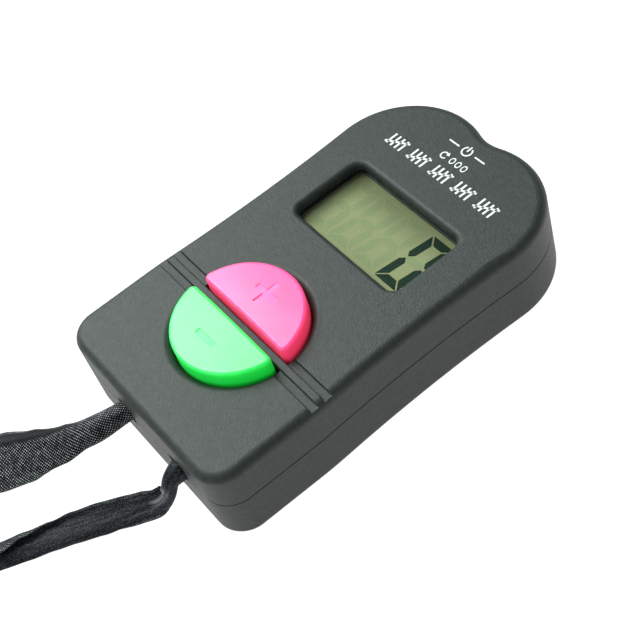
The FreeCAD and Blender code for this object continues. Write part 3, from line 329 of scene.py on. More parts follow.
def section_at(stations, distance, share):
    """The point of the ribbon's section a share, 0 to 1, of the way across, and its roll."""
    d = min(max(distance, stations[0][0]), stations[-1][0] - 1e-6)
    k = max(i for i in range(len(stations) - 1) if stations[i][0] <= d)
    t = (d - stations[k][0]) / (stations[k + 1][0] - stations[k][0])
    t = t * t * (3 - 2 * t)
    last = len(FLAT) - 1
    place = share * last
    j = min(int(place), last - 1)

    def across(section):
        near = [Vector(section[min(max(j + o, 0), last)]) for o in (-1, 0, 1, 2)]
        return curve_through(*near, place - j)

    point = across(stations[k][1]).lerp(across(stations[k + 1][1]), t)
    roll = stations[k][2] + (stations[k + 1][2] - stations[k][2]) * t
    return point, roll


def lay_out(path):
    """The route as evenly spaced places, closer together near the slots, with their distances."""
    far = [0.0]
    for a, b in zip(path, path[1:]):
        far.append(far[-1] + (b - a).length)
    total = far[-1]
    marks = []
    s = 0.0
    while s < total:
        marks.append(s)
        near_end = min(s, total - s) / MM
        s += (FINE_STEP if near_end < FINE_REACH else COARSE_STEP) * MM
    marks.append(total)
    places = []
    k = 0
    for s in marks:
        while k < len(far) - 2 and far[k + 1] < s:
            k += 1
        t = (s - far[k]) / (far[k + 1] - far[k])
        places.append(path[k].lerp(path[k + 1], t))
    return marks, places, total


def ribbon_grid(path):
    """Rows of places across the ribbon, each with its distance along."""
    marks, places, total = lay_out(path)
    rows = []
    for i, place in enumerate(places):
        tangent = (places[min(i + 1, len(places) - 1)] - places[max(i - 1, 0)]).normalized()
        first_half = marks[i] < total / 2
        to_slot = (marks[i] if first_half else total - marks[i]) / MM - SLOT_DEPTH
        stations = STATIONS_A if first_half else STATIONS_B
        near = UP.cross(tangent).normalized() * (1 if first_half else -1)
        lean = min(max((to_slot - LEANS_UNTIL) / (UPRIGHT_FROM - LEANS_UNTIL), 0), 1)
        lift = tangent.cross(UP.cross(tangent)).normalized().lerp(UP, lean).normalized()
        row = []
        for j in range(ACROSS + 1):
            (x, y), roll = section_at(stations, to_slot, j / ACROSS)
            a = math.radians(roll)
            x, y = x * math.cos(a) + y * math.sin(a), y * math.cos(a) - x * math.sin(a)
            point = place + (near * x + lift * y) * MM
            point.z = max(point.z, FLOOR_GAP * MM)
            row.append(point)
        rows.append((marks[i], row))
    return rows


def skin(bm, rows, pin, closed=False):
    """Smooth faces between rows of vertices. pin(row, column) is a vertex's place on the cloth."""
    uv = bm.loops.layers.uv.new("Ribbon")
    count = len(rows)
    for i in range(count if closed else count - 1):
        for j in range(len(rows[0]) - 1):
            corners = ((i, j), (i, j + 1), (i + 1, j + 1), (i + 1, j))
            face = bm.faces.new([rows[a % count][b] for a, b in corners])
            face.smooth = True
            for corner, (a, b) in zip(face.loops, corners):
                corner[uv].uv = pin(a, b)


def thicken(piece, thickness):
    solid = piece.modifiers.new("thickness", "SOLIDIFY")
    solid.thickness = thickness
    solid.offset = 0


def make_ribbon(path):
    rows = ribbon_grid(path)
    bm = bmesh.new()
    grid = [[bm.verts.new(p) for p in row] for _, row in rows]
    skin(bm, grid, lambda i, j: (rows[i][0] / MM, j / ACROSS * RIBBON_WIDTH))
    ribbon = build("lanyard_ribbon", bm)
    thicken(ribbon, RIBBON_THICK * MM)
    return ribbon


KNOT_STEPS = 96
KNOT_SIDES = 12
KNOT_CORD = 0.36  # the cord's radius as a share of the knot's smallest half size
# How far a plain trefoil reaches from its middle.
TREFOIL_WIDE = 2.6
TREFOIL_HIGH = 3.0


def closed_tube(name, path, radius, sides):
    """A tube round a closed path, built ring by ring."""
    bm = bmesh.new()
    count = len(path)
    rings = []
    lean = UP
    for i, place in enumerate(path):
        tangent = (path[(i + 1) % count] - path[i - 1]).normalized()
        lean = (lean - tangent * lean.dot(tangent)).normalized()
        other = tangent.cross(lean)
        ring = []
        for k in range(sides):
            a = math.tau * k / sides
            ring.append(bm.verts.new(place + (lean * math.cos(a) + other * math.sin(a)) * radius))
        rings.append(ring)
    for i in range(count):
        join_rings(bm, rings[i], rings[(i + 1) % count])
    bmesh.ops.recalc_face_normals(bm, faces=bm.faces)
    return build(name, bm)


def knot_path(middle, half, radius):
    """A trefoil that fits a box of these half sizes, seen from the slot."""
    room = half - Vector((radius, radius, radius))
    path = []
    for i in range(KNOT_STEPS):
        t = math.tau * i / KNOT_STEPS
        wide = (math.sin(t) + 2 * math.sin(2 * t)) / TREFOIL_WIDE
        high = (math.cos(t) - 2 * math.cos(2 * t)) / TREFOIL_HIGH
        deep = -math.sin(3 * t)
        path.append(middle + Vector((wide * room.x, deep * room.y, high * room.z)))
    return path


def make_knots():
    """A knot behind each slot; the CAD box holds them both."""
    low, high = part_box("lanyard_knots")
    places = (STRAND_A[0][0] * MM, STRAND_B[0][0] * MM)
    half = (high - low - Vector((places[1] - places[0], 0, 0))) / 2
    radius = KNOT_CORD * min(half)
    knots = []
    for label, x in zip("ab", places):
        middle = Vector((x, (low.y + high.y) / 2, (low.z + high.z) / 2))
        path = knot_path(middle, half, radius)
        knots.append(closed_tube(f"lanyard_knot_{label}", path, radius, KNOT_SIDES))
    return knots


TIE_THICK = 0.4
TIE_WIDTH = 5.0
TIE_CORNER = 1.2
TIE_ACROSS = 12
TIE_CORNER_STEPS = 7
TIE_WAVE = 0.012  # as a share of its half height
# Length of tie that one step round it stands for in its weave.
TIE_STEP = 1.2


def tie_outline(half_y, half_z):
    """A rounded rectangle, as (y, z) from its middle."""
    corner = TIE_CORNER * MM
    outline = []
    for quarter in range(4):
        for step in range(TIE_CORNER_STEPS):
            a = math.radians(quarter * 90 + step * 90 / (TIE_CORNER_STEPS - 1))
            side_y = 1 if quarter in (0, 3) else -1
            side_z = 1 if quarter in (0, 1) else -1
            y = side_y * (half_y - corner) + corner * math.cos(a)
            z = side_z * (half_z - corner) + corner * math.sin(a)
            outline.append((y, z))
    return outline


def make_tie():
    """A strip round both straps of the coil, slightly wavy along its far edge."""
    low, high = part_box("lanyard_tie")
    middle = (low + high) / 2
    half = (high - low) / 2
    inset = TIE_THICK * MM / 2
    bm = bmesh.new()
    rows = []
    for k, (y, z) in enumerate(tie_outline(half.y - inset, half.z - inset)):
        row = []
        for j in range(TIE_ACROSS + 1):
            share = j / TIE_ACROSS
            x = -half.x + 2 * half.x * share
            swell = 1 - TIE_WAVE * math.cos(math.tau * k / TIE_CORNER_STEPS) * share
            row.append(bm.verts.new((middle.x + x, middle.y + y * swell, middle.z + z)))
        rows.append(row)
    skin(bm, rows, lambda i, j: (i * TIE_STEP, j / TIE_ACROSS * TIE_WIDTH), closed=True)
    bmesh.ops.recalc_face_normals(bm, faces=bm.faces)
    tie = build("lanyard_tie_strip", bm)
    thicken(tie, TIE_THICK * MM)
    return tie


def make_lanyard():
    path = follow_route()
    ribbon = make_ribbon(path)
    knots = make_knots()
    tie = make_tie()
    satin = ribbon_shader()
    for piece in (ribbon, *knots):
        piece.data.materials.append(satin.material)
    tie.data.materials.append(hook_shader().material)
    for piece in (ribbon, *knots, tie):
        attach(piece, "case")
    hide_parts("lanyard_strand_a", "lanyard_strand_b", "lanyard_coil")
    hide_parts("lanyard_knots")
    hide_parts("lanyard_tie")


# ---------------------------------------------------------------- floor and light

FLOOR_HALF = 4.0
FLOOR_DROP = 0.0001
LIGHT_AIM = Vector((0, 0, 0.012))
LIGHT_COLOUR = (0.93, 1.0, 0.97)
SKY_COLOUR = (0.9, 0.95, 1.0)
SKY_STRENGTH = 0.29


def make_floor():
    """A wide pale sheet just under the counter, evenly bright like a lit studio table."""
    bm = bmesh.new()
    corners = ((-1, -1), (1, -1), (1, 1), (-1, 1))
    bm.faces.new([bm.verts.new((x * FLOOR_HALF, y * FLOOR_HALF, 0)) for x, y in corners])
    floor = build("floor", bm)
    floor.location.z = -FLOOR_DROP
    shader = Shader("floor_white", base=(0.25, 0.25, 0.25), roughness=0.9, specular=0.1)
    shader.put("Emission Color", (1, 1, 1, 1))
    shader.put("Emission Strength", 1.0)
    floor.data.materials.append(shader.material)


def make_softbox(name, place, size, watts):
    data = bpy.data.lights.new(name, "AREA")
    data.shape = "SQUARE"
    data.size = size
    data.energy = watts
    data.color = LIGHT_COLOUR
    light = link(bpy.data.objects.new(name, data))
    light.location = place
    light.rotation_euler = (place - LIGHT_AIM).to_track_quat("Z", "Y").to_euler()


def polar(azimuth, elevation, distance):
    """A place by its direction from +X and its height above the horizon, both in degrees."""
    a, e = math.radians(azimuth), math.radians(elevation)
    flat = math.cos(e)
    return distance * Vector((flat * math.cos(a), flat * math.sin(a), math.sin(e)))


def make_light():
    make_softbox("key", polar(188, 50, 0.6), size=0.42, watts=5.5)
    make_softbox("fill", polar(-78, 35, 0.9), size=0.6, watts=1.3)
    world = bpy.data.worlds.new("studio")
    bpy.context.scene.world = world
    world.use_nodes = True
    sky = world.node_tree.nodes["Background"].inputs
    sky["Color"].default_value = (*SKY_COLOUR, 1)
    sky["Strength"].default_value = SKY_STRENGTH
    bpy.context.scene.view_settings.view_transform = "Standard"


# ---------------------------------------------------------------- materials

# The clear part of the window is its lens without the flange that the case hides.
LENS_FLANGE = 1.3 * MM
LENS_GLOSS = 0.35
WINDOW_LOW, WINDOW_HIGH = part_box("display_lens")
# The caps' colour and painted glow are painted dark below the first height, as painted shade down
# in their wells, and are full above the second.
PAINTED_WELL_SHADE_LOW = 13.3 * MM
PAINTED_WELL_SHADE_HIGH = 14.7 * MM


class Shader:
    """A material with one Principled shader and short ways to feed it."""

    def __init__(self, name, base=(0.5, 0.5, 0.5), roughness=0.5, metallic=0.0, specular=0.5):
        self.material = bpy.data.materials.new(name)
        self.material.use_nodes = True
        self.tree = self.material.node_tree
        self.main = self.tree.nodes["Principled BSDF"]
        self.put("Base Color", (*base, 1))
        self.put("Roughness", roughness)
        self.put("Metallic", metallic)
        self.put("Specular IOR Level", specular)
        coordinates = self.add("ShaderNodeTexCoord")
        self.place = coordinates.outputs["Object"]
        self.normal = coordinates.outputs["Normal"]

    def put(self, socket, value):
        self.main.inputs[socket].default_value = value

    def add(self, kind, **settings):
        node = self.tree.nodes.new(kind)
        for key, value in settings.items():
            setattr(node, key, value)
        return node

    def join(self, output, target):
        self.tree.links.new(output, target)

    def axis(self, vector, letter):
        """One coordinate of a place."""
        parts = self.add("ShaderNodeSeparateXYZ")
        self.join(vector, parts.inputs["Vector"])
        return parts.outputs[letter]

    def scaled(self, colour, factor):
        """A colour made darker by a factor."""
        node = self.add("ShaderNodeVectorMath", operation="SCALE")
        self.join(colour, node.inputs["Vector"])
        self.join(factor, node.inputs["Scale"])
        return node.outputs["Vector"]

    def stretched(self, scale):
        mapping = self.add("ShaderNodeMapping")
        mapping.inputs["Scale"].default_value = scale
        self.join(self.place, mapping.inputs["Vector"])
        return mapping.outputs["Vector"]

    def noise(self, size_mm, detail=2.0, stretch=None):
        """Noise whose blobs are about this many millimetres."""
        node = self.add("ShaderNodeTexNoise")
        node.inputs["Scale"].default_value = 1 / (size_mm * MM)
        node.inputs["Detail"].default_value = detail
        self.join(self.stretched(stretch) if stretch else self.place, node.inputs["Vector"])
        return node.outputs["Fac"]

    def span(self, value, low, high, start=0.3, end=0.7):
        """Low to high as the value goes from start to end."""
        node = self.add("ShaderNodeMapRange")
        limits = {"From Min": start, "From Max": end, "To Min": low, "To Max": high}
        for socket, number in limits.items():
            node.inputs[socket].default_value = number
        self.join(value, node.inputs["Value"])
        return node.outputs["Result"]

    def colours(self, value, *stops):
        """A colour ramp through (position, colour) stops."""
        node = self.add("ShaderNodeValToRGB")
        ramp = node.color_ramp
        while len(ramp.elements) < len(stops):
            ramp.elements.new(0.5)
        for element, (position, colour) in zip(ramp.elements, stops):
            element.position = position
            element.color = (*colour, 1)
        self.join(value, node.inputs["Fac"])
        return node.outputs["Color"]

    def maths(self, operation, first, second=None):
        node = self.add("ShaderNodeMath", operation=operation)
        for socket, value in zip(node.inputs, (first, second)):
            if value is None:
                continue
            if isinstance(value, (int, float)):
                socket.default_value = value
            else:
                self.join(value, socket)
        return node.outputs["Value"]

    def bump(self, height, distance_mm):
        """Adds a bump on top of those already there."""
        node = self.add("ShaderNodeBump")
        node.inputs["Strength"].default_value = 1.0
        node.inputs["Distance"].default_value = distance_mm * MM
        self.join(height, node.inputs["Height"])
        if self.main.inputs["Normal"].is_linked:
            self.join(self.main.inputs["Normal"].links[0].from_socket, node.inputs["Normal"])
        self.join(node.outputs["Normal"], self.main.inputs["Normal"])

    def feed(self, socket, output):
        self.join(output, self.main.inputs[socket])


def speckled(name, low, high, grain, roughness, bump):
    """Plastic, rubber or paint: two close colours mottled, uneven gloss and a fine texture."""
    shader = Shader(name)
    shader.feed("Base Color", shader.colours(shader.noise(grain, 4), (0.3, low), (0.7, high)))
    shader.feed("Roughness", shader.span(shader.noise(grain * 3), *roughness))
    shader.bump(shader.noise(grain * 0.6, 3), bump)
    return shader


def brushed(name, low, high, stretch):
    """Metal with fine lines across the stretched axis."""
    shader = Shader(name, metallic=1.0)
    lines = shader.noise(0.25, 3, stretch)
    shader.feed("Base Color", shader.colours(lines, (0.3, low), (0.7, high)))
    shader.feed("Roughness", shader.span(shader.noise(0.9), 0.2, 0.38))
    shader.bump(lines, 0.004)
    return shader


def case_shader():
    """Matte charcoal plastic with a spark-eroded grain."""
    shader = Shader("case_charcoal", specular=0.38)
    dark, light = (0.0185, 0.0245, 0.022), (0.029, 0.036, 0.033)
    shader.feed("Base Color", shader.colours(shader.noise(0.9, 6), (0.3, dark), (0.7, light)))
    shader.feed("Roughness", shader.span(shader.noise(0.7, 5), 0.49, 0.53))
    shader.bump(shader.noise(0.30, 2), 0.05)
    shader.bump(shader.noise(0.12, 2), 0.03)
    return shader


def cap_shader(name, low, high, glow, painted_shine):
    """Translucent fluorescent plastic: light spreads inside it, and a painted glow in its own
    colour adds to it.

    Down in its well its colour and glow are painted dark, as painted shade, and it is matt.
    """
    shader = Shader(name, specular=0.6)
    # Painted shade: 0 down in the well, 1 above it.
    out_of_painted_shade = shader.span(shader.axis(shader.place, "Z"), 0.0, 1.0, PAINTED_WELL_SHADE_LOW, PAINTED_WELL_SHADE_HIGH)
    # Painted glow: the cap emits its own colour though it is no lamp, and none in the painted
    # shade.
    shader.feed("Emission Color", shader.colours(out_of_painted_shade, (0.0, (0, 0, 0)), (1.0, painted_shine)))
    shader.put("Emission Strength", 1.0)
    body = shader.colours(shader.noise(3.5, 4), (0.3, low), (0.7, high))
    shader.feed("Base Color", shader.scaled(body, shader.maths("MAXIMUM", out_of_painted_shade, 0.12)))
    gloss = shader.span(shader.noise(1.2, 3), 0.30, 0.36)
    matt = shader.span(out_of_painted_shade, 1.0, 0.0, 0.0, 1.0)
    shader.feed("Roughness", shader.maths("MAXIMUM", gloss, matt))
    shader.bump(shader.noise(0.35, 2), 0.006)
    shader.put("Subsurface Weight", 0.75)
    shader.put("Subsurface Radius", glow)
    shader.put("Subsurface Scale", 3.0 * MM)
    return shader


def lens_shader():
    """Thin clear plastic: lets light straight through, and only its flat top mirrors by angle."""
    shader = Shader("lens_clear", base=(0.9, 0.95, 0.93), metallic=1.0)
    shader.feed("Roughness", shader.span(shader.noise(4.0, 4), 0.09, 0.15))
    clear = shader.add("ShaderNodeBsdfTransparent")
    clear.inputs["Color"].default_value = (0.95, 0.97, 0.95, 1)
    angle = shader.add("ShaderNodeFresnel")
    angle.inputs["IOR"].default_value = 1.10
    facing_up = shader.maths("GREATER_THAN", shader.axis(shader.normal, "Z"), 0.5)
    top = shader.maths("MULTIPLY", facing_up, LENS_GLOSS)
    mix = shader.add("ShaderNodeMixShader")
    output = shader.tree.nodes["Material Output"]
    shader.join(shader.maths("MULTIPLY", angle.outputs["Fac"], top), mix.inputs["Fac"])
    shader.join(clear.outputs["BSDF"], mix.inputs[1])
    shader.join(shader.main.outputs["BSDF"], mix.inputs[2])
    shader.join(mix.outputs["Shader"], output.inputs["Surface"])
    return shader


def window_shaded(shader, colour):
    """The colour, darker near the left and top edges of the window, which shade the reflector."""
    left, top = WINDOW_LOW.x + LENS_FLANGE, WINDOW_HIGH.y - LENS_FLANGE
    x, y = shader.axis(shader.place, "X"), shader.axis(shader.place, "Y")
    from_left = shader.span(x, 0.42, 1.0, left + 0.4 * MM, left + 4.2 * MM)
    from_top = shader.span(y, 1.0, 0.55, top - 5.6 * MM, top - 0.6 * MM)
    return shader.scaled(colour, shader.maths("MULTIPLY", from_left, from_top))


def panel_shader():
    """Reflective panel: olive and mottled."""
    shader = Shader("panel_olive", specular=0.0)
    fine = shader.noise(0.35, 5)
    olive = shader.colours(fine, (0.3, (0.295, 0.303, 0.166)), (0.7, (0.338, 0.343, 0.198)))
    shader.feed("Base Color", window_shaded(shader, olive))
    shader.feed("Roughness", shader.span(shader.noise(2.0), 0.36, 0.46))
    shader.bump(fine, 0.003)
    return shader


def board_shader():
    """Green varnish with tracks in a brick pattern."""
    shader = Shader("board_green")
    tracks = shader.add("ShaderNodeTexBrick")
    tracks.inputs["Scale"].default_value = 320.0
    tracks.inputs["Mortar Size"].default_value = 0.09
    tracks.inputs["Color1"].default_value = (0.02, 0.10, 0.045, 1)
    tracks.inputs["Color2"].default_value = (0.025, 0.12, 0.05, 1)
    tracks.inputs["Mortar"].default_value = (0.05, 0.22, 0.09, 1)
    shader.join(shader.place, tracks.inputs["Vector"])
    shader.feed("Base Color", tracks.outputs["Color"])
    shader.feed("Roughness", shader.span(shader.noise(0.8), 0.3, 0.45))
    shader.bump(tracks.outputs["Fac"], 0.03)
    return shader


def zebra_shader():
    """Carbon and clear stripes across the strip."""
    shader = Shader("zebra_stripes", roughness=0.6)
    wave = shader.add("ShaderNodeTexWave", bands_direction="X")
    wave.inputs["Scale"].default_value = 1.0 / MM
    shader.join(shader.place, wave.inputs["Vector"])
    carbon, clear = (0.02, 0.02, 0.02), (0.55, 0.5, 0.46)
    shader.feed("Base Color", shader.colours(wave.outputs["Fac"], (0.45, carbon), (0.55, clear)))
    shader.bump(wave.outputs["Fac"], 0.02)
    return shader


def cloth_place(shader):
    """The place on the flat cloth in millimetres: along it and across it."""
    return shader.add("ShaderNodeUVMap", uv_map="Ribbon").outputs["UV"]


def weave_height(shader, cloth, pitch):
    """Height of a weave, 0 to 1: raised threads on a diagonal lattice of this pitch."""

    def wave(letter):
        turned = shader.maths("MULTIPLY", shader.axis(cloth, letter), math.tau / pitch)
        return shader.maths("SINE", turned)

    crossed = shader.maths("MULTIPLY", wave("X"), wave("Y"))
    return shader.maths("MULTIPLY", shader.maths("ADD", crossed, 1.0), 0.5)


def cloth_streaks(shader, cloth):
    """Noise drawn out along the cloth."""
    noise = shader.add("ShaderNodeTexNoise")
    noise.inputs["Scale"].default_value = 1.0
    noise.inputs["Detail"].default_value = 4.0
    lengthwise = shader.add("ShaderNodeMapping")
    lengthwise.inputs["Scale"].default_value = (0.22, 1.6, 1)
    shader.join(cloth, lengthwise.inputs["Vector"])
    shader.join(lengthwise.outputs["Vector"], noise.inputs["Vector"])
    return noise.outputs["Fac"]


RIBBON_PITCH = 0.52
TIE_PITCH = 0.9
# Where a painted highlight lies on strand B's pinched neck, in millimetres from its slot.
NECK_PAINTED_HIGHLIGHT = (3.0, 8.5)
# Pale colour of the painted highlights on threads and neck, and of the specks.
HIGHLIGHT_AND_SPECK_COLOUR = (0.56, 0.58, 0.60)
SATIN_DARK = (0.0016, 0.0019, 0.0025)
SATIN_LIGHT = (0.0180, 0.0215, 0.0280)


def ribbon_shader():
    """Black ribbon: raised threads on its woven face painted pale as painted highlights, fine
    streaks on its satin face, and a painted highlight on strand B's neck.

    Strand A shows the woven face and strand B the satin one; the stitched edges are woven on both.
    """
    shader = Shader("ribbon_satin", specular=0.10)
    cloth = cloth_place(shader)
    along, across = shader.axis(cloth, "X"), shader.axis(cloth, "Y")
    height = weave_height(shader, cloth, RIBBON_PITCH)
    streaks = cloth_streaks(shader, cloth)
    length = LANYARD_LENGTH / MM
    woven_face = shader.span(along, 1.0, 0.0, length * 0.45, length * 0.55)
    satin_face = shader.span(woven_face, 1.0, 0.0, 0.0, 1.0)
    from_middle = shader.maths("ABSOLUTE", shader.maths("SUBTRACT", across, RIBBON_WIDTH / 2))
    stitched = shader.span(from_middle, 0.0, 1.0, 3.4, 4.1)
    off_edge = shader.span(across, 0.35, 1.0, 2.2, 3.6)
    woven = shader.maths("MAXIMUM", shader.maths("MULTIPLY", woven_face, off_edge), stitched)
    # Painted highlights on the raised threads, uneven in strength.
    glints = shader.span(shader.noise(0.8, 3), 0.85, 1.15)
    raised = shader.maths("MULTIPLY", shader.maths("MULTIPLY", height, woven), glints)
    threads = shader.span(raised, 0.0, 1.0, 0.74, 0.99)

    # Painted highlight on the crown of strand B's pinched neck, streaked along the cloth.
    neck_start, neck_end = (length - SLOT_DEPTH - far for far in reversed(NECK_PAINTED_HIGHLIGHT))
    after_start = shader.span(along, 0.0, 1.0, neck_start, neck_start + 2.0)
    before_end = shader.span(along, 1.0, 0.0, neck_end, neck_end + 1.5)
    at_neck = shader.maths("MULTIPLY", after_start, before_end)
    at_crown = shader.span(from_middle, 0.62, 0.0, 0.7, 2.0)
    highlight_streaks = shader.span(streaks, 0.2, 1.0, 0.40, 0.60)
    painted_shine = shader.maths("MULTIPLY", shader.maths("MULTIPLY", at_neck, at_crown), highlight_streaks)

    specks = shader.span(shader.noise(0.15, 2), 0.0, 0.20, 0.52, 0.74)
    specks = shader.maths("MULTIPLY", specks, satin_face)
    satin = shader.span(streaks, 0.0, 1.0, 0.35, 0.65)
    satin = shader.maths("MULTIPLY", satin, shader.span(woven_face, 1.0, 0.15, 0.0, 1.0))
    # Painted highlights and pale specks pull the colour towards the pale highlight colour.
    light = shader.maths("MAXIMUM", shader.maths("MAXIMUM", threads, specks), painted_shine)
    mix = shader.add("ShaderNodeMix", data_type="RGBA")
    shader.join(light, mix.inputs["Factor"])
    shader.join(shader.colours(satin, (0.0, SATIN_DARK), (1.0, SATIN_LIGHT)), mix.inputs[6])
    mix.inputs[7].default_value = (*HIGHLIGHT_AND_SPECK_COLOUR, 1)
    shader.feed("Base Color", mix.outputs[2])
    shader.feed("Roughness", shader.span(streaks, 0.34, 0.46, 0.35, 0.6))
    shader.bump(streaks, 0.10)
    shader.bump(raised, 0.06)
    return shader


def hook_shader():
    """The fuzzy black face of a hook-and-loop strip, its raised loops painted lighter as a painted
    highlight.
    """
    shader = Shader("tie_hooks", roughness=0.85, specular=0.3)
    height = weave_height(shader, cloth_place(shader), TIE_PITCH)
    fuzz = shader.noise(0.25, 4)
    dark, light = (0.008, 0.008, 0.009), (0.06, 0.062, 0.065)
    # Painted highlight: raised, fuzzy loops are painted lighter.
    lit = shader.maths("MULTIPLY", height, fuzz)
    shader.feed("Base Color", shader.colours(lit, (0.1, dark), (0.5, light)))
    shader.bump(height, 0.12)
    shader.bump(fuzz, 0.08)
    return shader


def segment_shader(name, low, high):
    """Liquid crystal, shaded like the panel behind it."""
    shader = Shader(name, specular=0.0)
    mottle = shader.colours(shader.noise(0.4, 4), (0.3, low), (0.7, high))
    shader.feed("Base Color", window_shaded(shader, mottle))
    shader.feed("Roughness", shader.span(shader.noise(1.2), 0.4, 0.5))
    shader.bump(shader.noise(0.24, 3), 0.002)
    return shader


def grey(level, tint=0.0):
    return (level, level, level + tint)


def paint_nodes():
    """Gives every CAD node that stays its material."""
    case = case_shader()
    dark, light = grey(0.012, 0.001), grey(0.02, 0.001)
    black = speckled("plastic_black", dark, light, 0.8, (0.5, 0.65), 0.012)
    steel = brushed("steel_plain", (0.55, 0.55, 0.56), (0.68, 0.68, 0.69), (1, 8, 1))
    turned = brushed("steel_screw", (0.42, 0.42, 0.43), (0.6, 0.6, 0.61), (1, 1, 6))
    panel = panel_shader()
    looks = {
        "front_case": case,
        "back_case": case,
        "battery_door": case,
        "battery_door_screw": turned,
        # Each cap's last colour is its painted glow.
        "plus_button": cap_shader(
            "cap_pink",
            (0.95, 0.082, 0.345),
            (1.0, 0.102, 0.405),
            glow=(1.0, 0.25, 0.3),
            painted_shine=(0.5, 0.022, 0.035),
        ),
        "minus_button": cap_shader(
            "cap_green",
            (0.043, 0.78, 0.160),
            (0.050, 0.86, 0.192),
            glow=(0.3, 1.0, 0.4),
            painted_shine=(0.0, 0.30, 0.008),
        ),
        "reset_button": speckled(
            "cap_grey", (0.24, 0.25, 0.25), (0.3, 0.31, 0.31), 0.6, (0.4, 0.5), 0.01
        ),
        "reset_switch": black,
        "reset_plunger": black,
        "display_lens": lens_shader(),
        "lcd_front_glass": panel,
        "lcd_back_glass": panel,
        "lcd_frame": black,
        "zebra_strip": zebra_shader(),
        "circuit_board": board_shader(),
        "chip_cap": speckled("epoxy_black", grey(0.01), grey(0.02), 1.5, (0.15, 0.25), 0.01),
        "crystal": brushed("can_satin", (0.6, 0.6, 0.61), (0.75, 0.75, 0.76), (6, 1, 1)),
        "board_resistors": speckled(
            "resistor_black", grey(0.03), (0.12, 0.11, 0.1), 0.4, (0.4, 0.6), 0.01
        ),
        "board_capacitor": speckled(
            "capacitor_blue", (0.03, 0.05, 0.15), (0.05, 0.08, 0.22), 0.7, (0.25, 0.35), 0.008
        ),
        "battery_cell": steel,
        "battery_contact_top": steel,
        "battery_contact_side": steel,
        "case_screws": turned,
        "board_screws": turned,
    }
    for name, shader in looks.items():
        slots = NODES[name].data.materials
        if not slots:
            slots.append(shader.material)
        for i in range(len(slots)):
            slots[i] = shader.material


# ---------------------------------------------------------------- rubber key domes, millimetres

# Half of the wall's section, by distance from the axis and height above the board.
DOME_OUTSIDE = [
    (3.9, 0.0), (3.9, 0.42), (3.75, 0.5), (3.25, 0.55), (2.95, 0.8),
    (2.55, 1.3), (2.2, 1.75), (2.02, 2.05), (2.0, 2.4),
]
DOME_CROWN = [(1.9, 2.52), (1.2, 2.55), (0.5, 2.55)]
DOME_INSIDE = [(0.5, 1.75), (1.35, 1.72), (1.65, 1.45), (2.1, 0.95), (2.55, 0.4), (2.72, 0.0)]
DOME_SIDES = 40


def make_dome(node, shader):
    """A hollow silicone dome, turned about its axis."""
    low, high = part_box(node)
    middle = (low + high) / 2
    bm = bmesh.new()
    rings = []
    for radius, height in DOME_OUTSIDE + DOME_CROWN + DOME_INSIDE:
        ring = []
        for k in range(DOME_SIDES):
            a = math.tau * k / DOME_SIDES
            across, along = radius * math.cos(a) * MM, radius * math.sin(a) * MM
            ring.append(bm.verts.new((middle.x + across, middle.y + along, low.z + height * MM)))
        rings.append(ring)
    # The crown's top and the ceiling under it are closed by flat faces, not joined to each other.
    crown_top = len(DOME_OUTSIDE) + len(DOME_CROWN) - 1
    for i in range(len(rings)):
        if i != crown_top:
            join_rings(bm, rings[i], rings[(i + 1) % len(rings)])
    bm.faces.new(rings[crown_top])
    bm.faces.new(rings[crown_top + 1][::-1])
    dome = finish_piece(f"{node}_rubber", bm, shader)
    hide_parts(node)
    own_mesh(dome)


def make_domes():
    pale, paler = grey(0.55, -0.03), grey(0.66, -0.03)
    silicone = speckled("silicone_grey", pale, paler, 1.2, (0.6, 0.75), 0.01)
    make_dome("plus_key_dome", silicone)
    make_dome("minus_key_dome", silicone)


# ---------------------------------------------------------------- display digits, millimetres

DIGITS = 4
DIGIT_HEIGHT = 10.6
DIGIT_WIDTH = 5.0
DIGIT_PITCH = 5.75
DIGIT_FIRST = -8.55
DIGIT_MIDDLE = (WINDOW_LOW.y + WINDOW_HIGH.y) / 2
SLANT = math.tan(math.radians(6.5))
SEGMENT = 1.4
SEGMENT_GAP = 0.19
# Heights above the digit's middle where an upright segment's tip ends, and where it begins to
# narrow on its outer and inner side.
TIP = 0.26
TIP_OUTER = 0.9
TIP_INNER = 0.95
SEGMENT_THICK = 0.03
IDLE_THICK = 0.006
GLASS_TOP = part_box("lcd_front_glass")[1].z
GLASS_GAP = 0.005


def segment_shapes():
    """Outlines of the seven segments about the digit's middle, upright."""
    w, h, t, g = DIGIT_WIDTH / 2, DIGIT_HEIGHT / 2, SEGMENT, SEGMENT_GAP
    top = [(-w + g, h), (w - g, h), (w - t - g, h - t), (-w + t + g, h - t)]
    upper = [(w, h - g), (w, TIP_OUTER), (w - t * 0.4, TIP)]
    upper += [(w - t * 0.55, TIP), (w - t, TIP_INNER), (w - t, h - t - g)]
    middle = [(-w + t, t / 2), (w - t, t / 2), (w - t * 0.5, 0)]
    middle += [(w - t, -t / 2), (-w + t, -t / 2), (-w + t * 0.5, 0)]

    def flipped(shape, x_sign, y_sign):
        return [(x * x_sign, y * y_sign) for x, y in shape]

    return {
        "a": top,
        "b": upper,
        "c": flipped(upper, 1, -1),
        "d": flipped(top, 1, -1),
        "e": flipped(upper, -1, -1),
        "f": flipped(upper, -1, 1),
        "g": middle,
    }


def plate(bm, outline, low, high):
    """A flat plate with this outline between two heights."""
    bottom = [bm.verts.new((x, y, low)) for x, y in outline]
    top = [bm.verts.new((x, y, high)) for x, y in outline]
    bm.faces.new(top)
    bm.faces.new(bottom[::-1])
    for i in range(len(outline)):
        j = (i + 1) % len(outline)
        bm.faces.new((bottom[i], bottom[j], top[j], top[i]))


